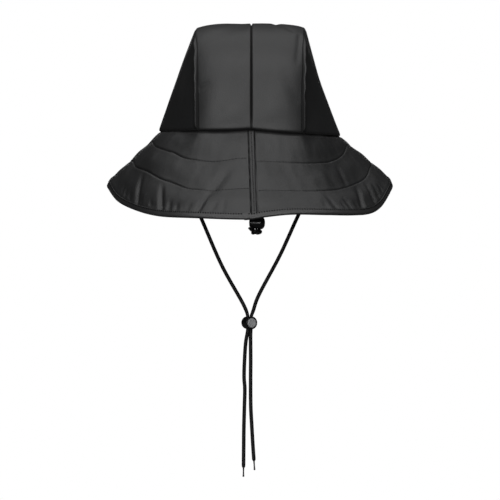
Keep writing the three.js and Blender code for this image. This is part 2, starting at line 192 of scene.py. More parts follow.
@dataclass(frozen=True)
class CrownForm:
    """The crown's pattern: two strips front to back and a panel at each side."""

    height: float = 110.2
    half_depth: float = 95.0
    squareness: float = 2.5
    seam_drop: float = 4.9
    strip_half: float = 50.0
    strip_widening: float = 4.3
    seam_x: float = 1.3
    gap: float = 0.3
    base_tilt: float = -2.4 / 91
    base_sag: float = 3.3
    roll_depth: float = 1.9
    roll_height: float = 3.2
    half_width: dict[Side, float] = field(
        default_factory=lambda: {Side.LEFT: 91.5, Side.RIGHT: 91.0}
    )
    bulge: dict[Side, float] = field(
        default_factory=lambda: {Side.LEFT: 0.7, Side.RIGHT: -2.6}
    )

    def base_lift(self, x: float, y: float) -> float:
        """How far the crown's base line lies off its plane.

        Args:
            x: X of a point round the crown.
            y: Its Y.

        Returns:
            The base line's height there.
        """
        angle = math.degrees(math.atan2(math.hypot(x, 4), -y))
        wave = math.sin(math.pi * (angle / 90) ** 0.63) if angle < 90 else 0.0
        return self.base_tilt * x - self.base_sag * wave + 1

    def lifted(self, x: float, y: float, z: float) -> Point:
        """Gives a point its share of the base line's lift, most at the foot.

        Args:
            x: X of the point.
            y: Its Y.
            z: Its height above the crown's plane.

        Returns:
            The lifted point.
        """
        fade = clamp(1 - z / self.height) ** 2
        return x, y, z + self.base_lift(x, y) * fade

    def strip_width_at(self, turn: float) -> float:
        """Half the width of both strips at a turn along the arc."""
        return self.strip_half + self.strip_widening * math.sin(turn) ** 2

    def arc(self, x: float, turn: float, inset: float) -> Point:
        """A point of the arc that runs over the head from front to back.

        Args:
            x: X of the point.
            turn: Its turn along the arc, from 0 at the back to pi at the front.
            inset: How far it is sunk below the arc.

        Returns:
            The point.
        """
        power = 2 / self.squareness
        along = math.cos(turn)
        y = -(self.half_depth - inset) * math.copysign(abs(along) ** power, along)
        z = (self.height - inset) * max(math.sin(turn), 0) ** power
        return self.lifted(x, y, z)

    def seam_at(self, z: float, back: bool) -> tuple[float, float]:
        """Where a side seam passes a height.

        Args:
            z: The height.
            back: Whether the back half of the seam is meant.

        Returns:
            The seam's distance from the centre, and its Y.
        """
        depth = self.half_depth - self.seam_drop
        sine = clamp(z / (self.height - self.seam_drop)) ** (self.squareness / 2)
        y = depth * math.sqrt(1 - sine * sine) ** (2 / self.squareness)
        return (
            self.strip_half + self.gap + self.strip_widening * sine * sine,
            -y if back else y,
        )

    def panel_base(self, side: Side, stop: float) -> tuple[float, float]:
        """The base line of a side panel.

        Args:
            side: Which side.
            stop: How far along it is, from 0 at the back seam to 1 at the front.

        Returns:
            Its distance from the centre, and its Y.
        """
        turn = math.pi * stop
        start = self.strip_half + self.gap
        depth = self.half_depth - self.seam_drop
        return (
            start + (self.half_width[side] - start) * math.sin(turn),
            -depth * (0.3 * math.cos(turn) + 0.7 * (1 - 2 * stop)),
        )

    def base_radius(self, angle: float) -> float:
        """The base line's distance from the axis.

        Args:
            angle: Angle round from the centre back.

        Returns:
            The distance there.
        """
        side = Side.LEFT if angle < 0 else Side.RIGHT
        around = 180 - abs(angle) if abs(angle) > 90 else abs(angle)

        def point(p: float) -> tuple[float, float]:
            """The base line from the centre back, at 0, to the centre front, at 1.5."""
            if p < 0.5:
                x = self.strip_half * 2 * p
                drop = self.seam_drop * (x / self.strip_half) ** 4.5
                return x, -(self.half_depth - drop)
            return self.panel_base(side, p - 0.5)

        low, high = 0.0, 1.0
        for _ in range(30):
            middle = (low + high) / 2
            x, y = point(middle)
            if math.atan2(x, -y) < math.radians(around):
                low = middle
            else:
                high = middle
        return math.hypot(*point(low))

    def rolled(self, point: Point) -> Point:
        """Rolls the crown's lower edge in to its seam.

        Args:
            point: A point of the crown's face.

        Returns:
            The rolled point.
        """
        x, y, z = point
        up = z - self.base_lift(x, y)
        t = clamp(1 - up / self.roll_height)
        share = self.roll_depth * (1 - math.sqrt(max(1 - t * t, 0)))
        reach = math.hypot(x, y)
        return x - x / reach * share, y - y / reach * share, z


@dataclass(frozen=True)
class Crease:
    """A soft valley pressed into the brim, from its foot near the edge upwards.

    Its foot and head are (angle, distance in from the edge), and it fades over a
    run that reaches a little past both.
    """

    foot: tuple[float, float]
    head: tuple[float, float]
    width: float
    depth: float
    run: tuple[float, float] = (-0.35, 1.15)
    press_factor: float = 1.5

    def press(self, angle: float, from_edge: float, radius: float) -> float:
        """How deep the valley is at a place on the brim.

        Args:
            angle: Angle round from the centre back.
            from_edge: Distance in from the edge, along the cloth.
            radius: Distance from the axis, which turns angles into lengths.

        Returns:
            The depth there.
        """
        (foot_angle, low), (head_angle, high) = self.foot, self.head
        t = (from_edge - low) / (high - low)
        start, end = self.run
        if not start <= t <= end:
            return 0.0
        middle = mix(foot_angle, head_angle, t)
        off = math.radians(angle - middle) * radius / self.width
        if abs(off) > 3:
            return 0.0
        fade = smooth(t, start, 0.12) * (1 - smooth(t, 0.35, end))
        return self.press_factor * self.depth * fade * math.exp(-off * off)


@dataclass(frozen=True)
class BrimSection:
    """The brim's middle line at one angle, read by distance from its edge."""

    edge: tuple[float, float]
    hem: float
    hem_slope: float
    line: tuple[tuple[float, float], ...]
    sums: tuple[float, ...]
    under: tuple[float, float]

    @property
    def length(self) -> float:
        """The cloth's length from its edge to the crown seam."""
        return self.sums[-1] + self.hem

    def read(self, from_edge: float) -> tuple[float, float, float]:
        """Reads the middle line.

        Args:
            from_edge: Distance in from the edge, along the cloth.

        Returns:
            The line's (radius, z, slope) there.
        """
        if from_edge <= self.hem:
            return (
                self.edge[0] - from_edge * math.cos(self.hem_slope),
                self.edge[1] + from_edge * math.sin(self.hem_slope),
                self.hem_slope,
            )
        want = clamp(self.length - from_edge, 0, self.sums[-1])
        last = len(self.sums) - 2
        i = min(max(bisect.bisect_right(self.sums, want) - 1, 0), last)
        t = (want - self.sums[i]) / (self.sums[i + 1] - self.sums[i])
        (r0, z0), (r1, z1) = self.line[i], self.line[i + 1]
        return mix(r0, r1, t), mix(z0, z1, t), math.atan2(z0 - z1, r1 - r0)


@dataclass
class BrimForm:
    """The brim's pattern: its edge, its stitched rows and its creases.

    Each row of the edge is (angle, radius, z, bow), and each row of a stitched
    line is (angle, distance in from the edge).
    """

    crown: CrownForm
    wall: float = 1.4
    hem: float = 7.0
    tuck: float = 1.1
    seam_gap: float = 0.5
    puff: float = 0.8
    edge: Rows = (
        (-180, 150, -43, 0),
        (-135, 147, -41, 0),
        (-110, 143.5, -43, 0),
        (-90, 141.4, -50.6, -1),
        (-75, 143, -56, -0.5),
        (-62, 143.6, -68.6, 3),
        (-47, 143.4, -78.6, 5),
        (-36, 145, -83.2, 0),
        (-22, 148, -84.9, -4),
        (0, 146, -86.6, 0),
        (6, 147, -84.2, -3),
        (15, 150, -81.8, -6),
        (28, 152, -82, -7),
        (41, 149, -82, -5),
        (53, 144.5, -80, -3),
        (62, 142.6, -74, -1),
        (75, 142.6, -57.5, 0),
        (90, 141, -49.8, 0.5),
        (110, 143.5, -43, 0),
        (135, 147, -41, 0),
    )
    upper_row: Rows = (
        (-110, 50),
        (-62, 68),
        (-42, 68),
        (-32, 64.5),
        (-20, 65),
        (-3, 68.5),
        (0.5, 68.5),
        (2.8, 65),
        (38, 64.5),
        (62, 66.5),
        (110, 50),
    )
    lower_row: Rows = (
        (-180, 29),
        (-108, 27.5),
        (-70, 38),
        (-52, 40.5),
        (-38, 37),
        (-25, 32.5),
        (-16, 32.5),
        (0.5, 34.5),
        (2.8, 31),
        (33, 32),
        (54, 34.5),
        (69, 31.5),
        (98, 29.5),
        (180, 29),
    )
    creases: tuple[Crease, ...] = (
        Crease((-61.5, 10), (-62, 20), 1.5, 0.7),
        Crease((-58, 9), (-59.5, 19), 1.5, 0.8),
        Crease((-54.5, 8), (-55.5, 16), 1.3, 0.7),
        Crease((-49.2, 8), (-52.6, 36), 2.6, 2.0),
        Crease((-46.4, 8), (-47.5, 17), 1.2, 0.7),
        Crease((-41.4, 8), (-41.8, 15), 1.6, 0.7),
        Crease((-36, 7), (-39.2, 33), 2.2, 1.8),
        Crease((-32, 7), (-32.8, 19), 1.3, 0.8),
        Crease((-29, 7), (-29.2, 15), 1.3, 0.6),
        Crease((-24.4, 8), (-23.2, 18), 1.8, 0.45),
        Crease((-19.8, 7), (-17, 30), 2.2, 1.5),
        Crease((-14.6, 8), (-12.6, 20), 1.8, 0.6),
        Crease((-16.6, 28), (-9, 60), 5.5, 1.2),
        Crease((-10.2, 8), (-10, 24), 1.6, 0.45),
        Crease((28.6, 8), (29.8, 22), 1.9, 0.3),
        Crease((33.6, 8), (32, 28), 2.3, 0.55),
        Crease((37.9, 8), (38.3, 17), 1.3, 0.45),
        Crease((41.2, 7), (40.4, 21), 1.8, 0.75),
        Crease((45.8, 8), (45.2, 17), 1.4, 0.6),
        Crease((49, 8), (54, 32), 3.4, 1.7),
        Crease((59.4, 9), (61.4, 30), 1.8, 1.1),
        Crease((64, 9), (65, 24), 1.5, 0.9),
        Crease((68, 9), (68.4, 20), 1.3, 0.6),
        Crease((48, 38), (49, 60), 3.6, 0.8),
        Crease((41, 36), (38, 58), 4.5, 0.4),
    )
    seam_width: float = 5.5
    seam_x: tuple[float, float] = (1.2, 4.2)
    edge_arc: float = 145.0
    line_steps: int = 60
    even_over: tuple[float, ...] = (-9, -6, -3, 3, 6, 9)
    known: dict[float, BrimSection] = field(default_factory=dict)
    plain: dict[float, BrimSection] = field(default_factory=dict)

    def edge_at(self, angle: float) -> tuple[float, float, float]:
        """Reads the edge smoothly from its table.

        Args:
            angle: Angle round from the centre back.

        Returns:
            The edge's (radius, z, bow) there.
        """
        count = len(self.edge)

        def row(i: int) -> tuple[float, ...]:
            """A row of the table, which repeats every full turn."""
            turns, j = divmod(i, count)
            return self.edge[j][0] + 360 * turns, *self.edge[j][1:]

        i = bisect.bisect_right([entry[0] for entry in self.edge], angle) - 1
        before, start, end, after = row(i - 1), row(i), row(i + 1), row(i + 2)
        span = end[0] - start[0]
        t = (angle - start[0]) / span
        values = []
        for key in (1, 2, 3):
            slope_in = (end[key] - before[key]) / (end[0] - before[0]) * span
            slope_out = (after[key] - start[key]) / (after[0] - start[0]) * span
            values.append(hermite(t, start[key], slope_in, end[key], slope_out))
        return tuple(values)

    def section(self, angle: float) -> BrimSection:
        """The brim's middle line, worked out once for each angle and kept.

        Args:
            angle: Angle round from the centre back.

        Returns:
            The section there.
        """
        angle = (angle + 180) % 360 - 180
        key = round(angle, 4)
        if key not in self.known:
            self.known[key] = self._evened(angle)
        return self.known[key]

    def _evened(self, angle: float) -> BrimSection:
        """A section evened out with its neighbours, as soft cloth lies.

        Args:
            angle: Angle round from the centre back.

        Returns:
            The section there.
        """
        plain = self._plain(angle)
        spread = [self._plain(angle + off) for off in self.even_over]
        line = []
        for i, point in enumerate(plain.line):
            share = smooth(i, 2, 26) * (1 - smooth(i, 48, self.line_steps))
            mean = [
                (point[c] + sum(other.line[i][c] for other in spread))
                / (len(spread) + 1)
                for c in (0, 1)
            ]
            line.append(tuple(mix(point[c], mean[c], share) for c in (0, 1)))
        return replace(plain, line=tuple(line), sums=tuple(running_lengths(line)))

    def _plain(self, angle: float) -> BrimSection:
        """A section before the cloth's own softness evens it out.

        Args:
            angle: Angle round from the centre back.

        Returns:
            The section there, a curve from the crown's seam to a straight hem.
        """
        angle = (angle + 180) % 360 - 180
        key = round(angle, 4)
        if key in self.plain:
            return self.plain[key]
        turn = math.radians(angle)
        radius, z, bow = self.edge_at(angle)
        rim = self.crown.base_radius(angle) - self.tuck
        lift = self.crown.base_lift(rim * math.sin(turn), -rim * math.cos(turn))
        top = lift - self.seam_gap
        first = math.atan2(top - z, radius - rim) + math.atan(4 * bow / 90)
        cut = self.wall / math.sin(first)
        start = (rim - cut / 2, top)
        chord = (radius - start[0], z - start[1])
        slope = math.atan2(-chord[1], chord[0])
        droop = math.radians(4 + 16 * math.sin(turn) ** 2)
        hem_slope = slope + 0.8 * math.atan(4 * bow / math.hypot(*chord)) + droop
        hem = (
            radius - self.hem * math.cos(hem_slope),
            z + self.hem * math.sin(hem_slope),
        )
        control = (
            (start[0] + hem[0]) / 2 + 2 * bow * math.sin(slope),
            (start[1] + hem[1]) / 2 + 2 * bow * math.cos(slope),
        )
        line = [
            tuple(
                (1 - t) ** 2 * start[c] + 2 * t * (1 - t) * control[c] + t * t * hem[c]
                for c in (0, 1)
            )
            for t in (i / self.line_steps for i in range(self.line_steps + 1))
        ]
        self.plain[key] = BrimSection(
            edge=(radius, z),
            hem=self.hem,
            hem_slope=hem_slope,
            line=tuple(line),
            sums=tuple(running_lengths(line)),
            under=(rim - cut, top),
        )
        return self.plain[key]

    def rows(self, angle: float) -> tuple[float, float]:
        """Distances of the lower and upper stitched rows from the edge."""
        return keyed(self.lower_row, angle), keyed(self.upper_row, angle)

    def seam_centre(self, from_edge: float) -> float:
        """X of the felled strip's middle at a distance from the brim's edge."""
        return mix(self.seam_x[1], self.seam_x[0], clamp(from_edge / 100))

    def relief(self, angle: float, from_edge: float) -> tuple[float, float]:
        """How the outer face stands off the plain cloth, and the shade painted on it.

        Args:
            angle: Angle round from the centre back.
            from_edge: Distance in from the edge, along the cloth.

        Returns:
            The height above the plain face, and how pinched the cloth is there,
            from 0 to 1.
        """
        section = self.section(angle)
        length = section.length
        radius, z, _ = section.read(from_edge)
        lower, upper = self.rows(angle)
        lines = (self.hem, lower, upper, length)
        height = 0.0
        for near, far in zip(lines, lines[1:]):
            if near <= from_edge <= far:
                width = far - near
                puff = self.puff * clamp(width / 25)
                height += puff * math.sin(math.pi * (from_edge - near) / width) ** 2
        around = abs(angle)
        strength = mix(0.3, 1.0, smooth(around, 6, 34)) * (
            1 - 0.55 * smooth(around, 95, 130)
        )
        heavy = smooth(-angle, 26, 40) * (1 - smooth(-angle, 70, 95))
        painted_shade = 0.0
        for row in (lower, upper):
            off = (from_edge - row) / mix(0.75, 1.0, heavy)
            if abs(off) < 3:
                dip = strength * math.exp(-off * off)
                height -= mix(0.6, 0.85, heavy) * dip
                # Painted shade along each stitched row's groove.
                dark = 0.8 * strength * math.exp(-mix(4, 2, heavy) * off * off)
                painted_shade = max(painted_shade, dark)
        for crease in self.creases:
            height -= crease.press(angle, from_edge, radius)
        near_hem = smooth(from_edge, 4.5, 8) * (1 - smooth(from_edge, 9, 20))
        gather = mix(0.15, 0.6, smooth(around, 18, 40)) * near_hem
        arc = math.radians(angle) * self.edge_arc
        height += gather * noise.noise(Vector((arc / 3.1, from_edge / 16, 4.2)))
        height += 0.6 * noise.noise(Vector((arc / 26, from_edge / 19, 1.7)))
        height += 0.3 * noise.noise(Vector((arc / 10, from_edge / 14, 7.3)))
        if around < 8:
            side = math.sin(math.radians(angle)) * radius
            side -= self.seam_centre(from_edge)
            off = abs(side)
            height -= 0.4 * (1 - smooth(off, 3.0, 3.9))
            flat = smooth(length - from_edge, 25, 70) if side > 0 else 0.0
            groove = clamp(1 - abs(off - 3.0) / 0.6)
            height -= mix(0.7, 0.1, flat) * groove
            # Painted shade in the grooves beside the felled strip.
            painted_shade = max(painted_shade, (0.6 if side < 0 else mix(0.35, 0.1, flat)) * groove)
        top = length - from_edge
        # Painted shade on the brim's top where it tucks under the crown.
        painted_shade = max(painted_shade, 1 - smooth(top, 1.5, 4.8))
        return height, painted_shade

    def face(self, angle: float, from_edge: float, stand: float = 0.0) -> Vector:
        """A point of the brim's outer face.

        Args:
            angle: Angle round from the centre back.
            from_edge: Distance in from the edge, along the cloth.
            stand: Height above the face.

        Returns:
            The point.
        """
        section = self.section(angle)
        radius, z, slope = section.read(from_edge)
        height = self.wall / 2 + stand + self.relief(angle, from_edge)[0]
        top = section.length - from_edge
        radius -= 2.2 * clamp(1 - top / 3.4) ** 2
        return stand_off(angle, (radius, z, slope), height)

    def angle_for(self, x: float, from_edge: float) -> float:
        """The angle near the centre back at which the face passes an X.

        Args:
            x: The X to pass.
            from_edge: Distance in from the edge, along the cloth.

        Returns:
            The angle.
        """
        angle = 0.0
        for _ in range(3):
            point = self.face(angle, from_edge)
            angle += math.degrees((x - point.x) / math.hypot(point.x, point.y))
        return angle


# ----- hand tools


class Bench:
    """Hand tools that shape a piece with operators and by moving its points."""

    @staticmethod
    def clear() -> None:
        """Deselects everything, in object mode."""
        if bpy.context.object and bpy.context.object.mode != "OBJECT":
            bpy.ops.object.mode_set(mode="OBJECT")
        bpy.ops.object.select_all(action="DESELECT")

    @staticmethod
    def take(piece: bpy.types.Object) -> None:
        """Makes a piece the only one selected, and active."""
        Bench.clear()
        piece.select_set(True)
        bpy.context.view_layer.objects.active = piece

    @staticmethod
    def edit(piece: bpy.types.Object) -> None:
        """Goes into edit mode with a piece, if it isn't there yet."""
        if piece.mode != "EDIT":
            Bench.take(piece)
            bpy.ops.object.mode_set(mode="EDIT")

    @staticmethod
    def select(
        piece: bpy.types.Object, part: Part, test: Callable[[Element], bool]
    ) -> None:
        """Goes into edit mode with only the parts that pass a test selected.

        Args:
            piece: The piece to edit.
            part: Which of its parts are meant.
            test: Says of a part whether it is wanted.
        """
        Bench.edit(piece)
        bpy.ops.mesh.select_mode(type=part.value)
        bpy.ops.mesh.select_all(action="DESELECT")
        mesh = bmesh.from_edit_mesh(piece.data)
        for element in mesh.faces if part is Part.FACE else mesh.edges:
            element.select = test(element)
        if part is Part.FACE:
            mesh.select_flush(True)
        bmesh.update_edit_mesh(piece.data)

    @staticmethod
    def close(piece: bpy.types.Object) -> None:
        """Leaves edit mode with doubles merged and normals recalculated.

        Args:
            piece: The piece, in or out of edit mode.
        """
        Bench.edit(piece)
        bpy.ops.mesh.select_all(action="SELECT")
        bpy.ops.mesh.remove_doubles(threshold=2e-6)
        bpy.ops.mesh.normals_make_consistent(inside=False)
        bpy.ops.object.mode_set(mode="OBJECT")

    @staticmethod
    def finish(piece: bpy.types.Object, angle: float = 40.0) -> None:
        """Applies every modifier and smooths faces that meet below an angle.

        Args:
            piece: The piece.
            angle: The angle, in degrees.
        """
        Bench.take(piece)
        for modifier in list(piece.modifiers):
            bpy.ops.object.modifier_apply(modifier=modifier.name)
        bpy.ops.object.shade_smooth_by_angle(angle=math.radians(angle))

    @staticmethod
    def settle(piece: bpy.types.Object, place: Matrix) -> None:
        """Moves a piece's mesh to its place, with its object at the origin.

        Args:
            piece: The piece.
            place: The mesh's place on the hat.
        """
        piece.data.transform(piece.matrix_basis)
        piece.matrix_basis = Matrix.Identity(4)
        piece.data.transform(place)
        if place.determinant() < 0:
            piece.data.flip_normals()

    @staticmethod
    def cloth(
        name: str,
        columns: int,
        rows: int,
        place: Callable[[int, int], Placed],
        outward: Callable[[Vector], Vector],
    ) -> bpy.types.Object:
        """Lays a grid of points on a form, one point at a time.

        Args:
            name: The piece's name.
            columns: Points across.
            rows: Points along.
            place: Gives a point in millimetres, its pattern coordinates in metres, and
                how much shade is painted into its colour there.
            outward: Gives the way out at a point of the piece.

        Returns:
            The piece, with its doubles merged and its faces pointing out.
        """
        Bench.clear()
        bpy.ops.mesh.primitive_grid_add(
            x_subdivisions=columns - 1, y_subdivisions=rows - 1, size=1.0
        )
        piece = bpy.context.object
        piece.name = name
        mesh = piece.data
        mesh.name = name
        points, painted_shades, patterns = [], [], []
        for vertex in mesh.vertices:
            i = round((vertex.co.x + 0.5) * (columns - 1))
            j = round((vertex.co.y + 0.5) * (rows - 1))
            point, pattern, painted_shade = place(i, j)
            points.extend(value * MM for value in point)
            painted_shades.append(painted_shade)
            patterns.append(pattern)
        mesh.vertices.foreach_set("co", points)
        # Painted shade: one value a point, how far its colour is darkened to stand in
        # for the shade in seams, stitched rows and under the crown.
        layer = mesh.attributes.new("painted_shade", "FLOAT", "POINT")
        layer.data.foreach_set("value", painted_shades)
        spread = [0.0] * (2 * len(mesh.loops))
        for loop in mesh.loops:
            spread[2 * loop.index : 2 * loop.index + 2] = patterns[loop.vertex_index]
        mesh.uv_layers.active.data.foreach_set("uv", spread)
        mesh.update()
        Bench.close(piece)
        lean = sum(
            face.normal.dot(outward(face.center)) * face.area
            for face in piece.data.polygons
        )
        if lean < 0:
            piece.data.flip_normals()
        return piece

    @staticmethod
    def wall(piece: bpy.types.Object, thickness: float) -> None:
        """Gives cloth its thickness inwards; the inner face takes the next material.

        Args:
            piece: The cloth.
            thickness: Its thickness.
        """
        shell = piece.modifiers.new("wall", "SOLIDIFY")
        shell.thickness = thickness * MM
        shell.offset = -1
        shell.use_even_offset = False
        shell.use_rim = True
        shell.material_offset = 1
        shell.material_offset_rim = 0

    @staticmethod
    def tube(
        name: str,
        path: Sequence[Vector],
        radii: Sequence[float],
        sides: int,
        ring: bool = False,
    ) -> bpy.types.Object:
        """Runs a round tube along a path, its ends drawn to a pole.

        Args:
            name: The piece's name.
            path: Points of its middle line, in millimetres.
            radii: The radius at each point; an open tube starts and ends at 0.
            sides: Points round it.
            ring: Whether the path joins up with itself.

        Returns:
            The tube, with the length along it as its pattern's second value.
        """
        count = len(path)
        ways = []
        for i in range(count):
            after = path[(i + 1) % count] if ring else path[min(i + 1, count - 1)]
            before = path[i - 1] if ring or i else path[0]
            ways.append((after - before).normalized())
        lengths = running_lengths(path)
        side = ways[0].orthogonal().normalized()
        sides_by_row = []
        for way in ways:
            side = (side - way * side.dot(way)).normalized()
            sides_by_row.append(side)
        if ring:
            first, last = sides_by_row[0], side
            last = (last - ways[0] * last.dot(ways[0])).normalized()
            twist = math.atan2(last.cross(first).dot(ways[0]), last.dot(first))
            sides_by_row = [
                Matrix.Rotation(twist * i / count, 3, way) @ vector
                for i, (way, vector) in enumerate(zip(ways, sides_by_row))
            ]

        def place(i: int, j: int) -> Placed:
            """One point of the tube's skin."""
            row = j % count if ring else j
            turn = 2 * math.pi * i / sides
            out = sides_by_row[row] * math.cos(turn)
            out += ways[row].cross(sides_by_row[row]) * math.sin(turn)
            point = path[row] + out * radii[row]
            along = lengths[-1] if ring and j == count else lengths[row]
            return tuple(point), (i / sides, along * MM), 0.0

        rows = count + 1 if ring else count

        def outward(centre: Vector) -> Vector:
            """The way out from the nearest point of the middle line."""
            nearest = min(path, key=lambda p: (p * MM - centre).length_squared)
            return centre - nearest * MM

        return Bench.cloth(name, sides + 1, rows, place, outward)


def route(points: Sequence[Point], step: float) -> list[Vector]:
    """A smooth line through a cord's points.

    Args:
        points: The cord's points, in millimetres.
        step: About how far apart the line's own points are.

    Returns:
        The line's points, the first and last of the cord's among them.
    """
    given = [Vector(point) for point in points]
    given = [2 * given[0] - given[1], *given, 2 * given[-1] - given[-2]]
    line = []
    for p0, p1, p2, p3 in zip(given, given[1:], given[2:], given[3:]):
        spans = ((p0, p1), (p1, p2), (p2, p3))
        d0, d1, d2 = (math.sqrt((b - a).length) for a, b in spans)
        out = ((p1 - p0) / d0 - (p2 - p0) / (d0 + d1) + (p2 - p1) / d1) * d1
        into = ((p2 - p1) / d1 - (p3 - p1) / (d1 + d2) + (p3 - p2) / d2) * d1
        count = max(1, round((p2 - p1).length / step))
        line += [hermite(i / count, p1, out, p2, into) for i in range(count)]
    line.append(given[-2])
    return line


# ----- finishes


class Board:
    """A node tree with short ways to add and join nodes."""

    def __init__(self, tree: bpy.types.NodeTree) -> None:
        """Takes the tree that nodes are added to."""
        self.tree = tree
        self.column = 0

    def add(self, kind: str, **values: object) -> bpy.types.Node:
        """Adds a node and sets its own properties.

        Args:
            kind: The node's type.
            **values: Properties of the node.

        Returns:
            The node.
        """
        node = self.tree.nodes.new(kind)
        node.location = (200 * self.column, 0)
        self.column += 1
        for name, value in values.items():
            setattr(node, name, value)
        return node

    def join(self, source: bpy.types.NodeSocket, target: bpy.types.NodeSocket) -> None:
        """Links one socket to another."""
        self.tree.links.new(source, target)

    def math(self, operation: str, a: object, b: object = 0.0) -> bpy.types.NodeSocket:
        """A Math node between two sockets or numbers.

        Args:
            operation: What it does.
            a: The first socket or number.
            b: The second socket or number.

        Returns:
            Its result.
        """
        node = self.add("ShaderNodeMath", operation=operation)
        for socket, value in zip(node.inputs, (a, b)):
            if isinstance(value, bpy.types.NodeSocket):
                self.join(value, socket)
            else:
                socket.default_value = value
        return node.outputs[0]

    def spread(
        self, value: bpy.types.NodeSocket, low: float, high: float
    ) -> bpy.types.NodeSocket:
        """A value from 0 to 1 brought between low and high.

        Args:
            value: The value.
            low: What 0 becomes.
            high: What 1 becomes.

        Returns:
            The new value.
        """
        node = self.add("ShaderNodeMapRange")
        self.join(value, node.inputs["Value"])
        node.inputs["To Min"].default_value = low
        node.inputs["To Max"].default_value = high
        return node.outputs["Result"]

    def noise(self, place: bpy.types.NodeSocket, scale: float) -> bpy.types.NodeSocket:
        """A noise value over a place, with features of about 1 / scale.

        Args:
            place: The place.
            scale: The scale.

        Returns:
            The value.
        """
        node = self.add("ShaderNodeTexNoise")
        self.join(place, node.inputs["Vector"])
        node.inputs["Scale"].default_value = scale
        return node.outputs["Fac"]


class Effects:
    """Node groups that several finishes share, each built once."""

    @staticmethod
    def group(
        name: str, takes: dict[str, float | None]
    ) -> tuple[Board, bpy.types.Node, bpy.types.Node]:
        """Starts a node group that gives a height and a tone.

        Args:
            name: The group's name.
            takes: Its inputs, by name, with a default number or None for a vector.

        Returns:
            Its board, its input node and its output node.
        """
        tree = bpy.data.node_groups.new(name, "ShaderNodeTree")
        for word, value in takes.items():
            kind = "NodeSocketVector" if value is None else "NodeSocketFloat"
            socket = tree.interface.new_socket(
                name=word, in_out="INPUT", socket_type=kind
            )
            if value is not None:
                socket.default_value = value
        for word in ("Height", "Tone"):
            tree.interface.new_socket(
                name=word, in_out="OUTPUT", socket_type="NodeSocketFloat"
            )
        board = Board(tree)
        return board, board.add("NodeGroupInput"), board.add("NodeGroupOutput")

    @staticmethod
    @cache
    def grain() -> bpy.types.NodeTree:
        """A coated face: fine pebbling over slow unevenness.

        Returns:
            The node group.
        """
        takes = {"Place": None, "Pebble Scale": 1600.0, "Drift Scale": 38.0}
        board, source, sink = Effects.group("Coating grain", takes)
        pebble = board.add("ShaderNodeTexVoronoi", feature="SMOOTH_F1")
        board.join(source.outputs["Place"], pebble.inputs["Vector"])
        board.join(source.outputs["Pebble Scale"], pebble.inputs["Scale"])
        drift = board.add("ShaderNodeTexNoise")
        board.join(source.outputs["Place"], drift.inputs["Vector"])
        board.join(source.outputs["Drift Scale"], drift.inputs["Scale"])
        drift.inputs["Detail"].default_value = 3.0
        small = board.math("MULTIPLY", pebble.outputs["Distance"], 0.35)
        board.join(
            board.math("ADD", small, drift.outputs["Fac"]), sink.inputs["Height"]
        )
        board.join(drift.outputs["Fac"], sink.inputs["Tone"])
        return board.tree

    @staticmethod
    @cache
    def weave() -> bpy.types.NodeTree:
        """Plain woven threads over a pattern's own coordinates.

        Returns:
            The node group.
        """
        takes = {"Place": None, "Threads": 1400.0}
        board, source, sink = Effects.group("Plain weave", takes)
        split = board.add("ShaderNodeSeparateXYZ")
        board.join(source.outputs["Place"], split.inputs["Vector"])
        waves = []
        for axis in ("X", "Y"):
            threads = source.outputs["Threads"]
            phase = board.math("MULTIPLY", split.outputs[axis], threads)
            turned = board.math("MULTIPLY", phase, 2 * math.pi)
            waves.append(board.math("SINE", turned))
        over = board.math("MULTIPLY", waves[0], waves[1])
        height = board.spread(board.math("ADD", over, 1.0), 0.0, 0.5)
        board.join(height, sink.inputs["Height"])
        tone = board.noise(source.outputs["Place"], 90.0)
        board.join(tone, sink.inputs["Tone"])
        return board.tree

    @staticmethod
    @cache
    def braid() -> bpy.types.NodeTree:
        """Two families of strands wound round a cord in opposite ways.

        Returns:
            The node group.
        """
        takes = {"Place": None, "Strands": 6.0, "Pitch": 420.0}
        board, source, sink = Effects.group("Cord braid", takes)
        split = board.add("ShaderNodeSeparateXYZ")
        board.join(source.outputs["Place"], split.inputs["Vector"])
        around = board.math("MULTIPLY", split.outputs["X"], source.outputs["Strands"])
        along = board.math("MULTIPLY", split.outputs["Y"], source.outputs["Pitch"])
        strands = []
        for way in ("ADD", "SUBTRACT"):
            phase = board.math(way, around, along)
            turned = board.math("MULTIPLY", phase, 2 * math.pi)
            strands.append(board.math("SINE", turned))
        height = board.math("MAXIMUM", strands[0], strands[1])
        board.join(board.spread(height, 0.0, 1.0), sink.inputs["Height"])
        tone = board.noise(source.outputs["Place"], 60.0)
        board.join(tone, sink.inputs["Tone"])
        return board.tree


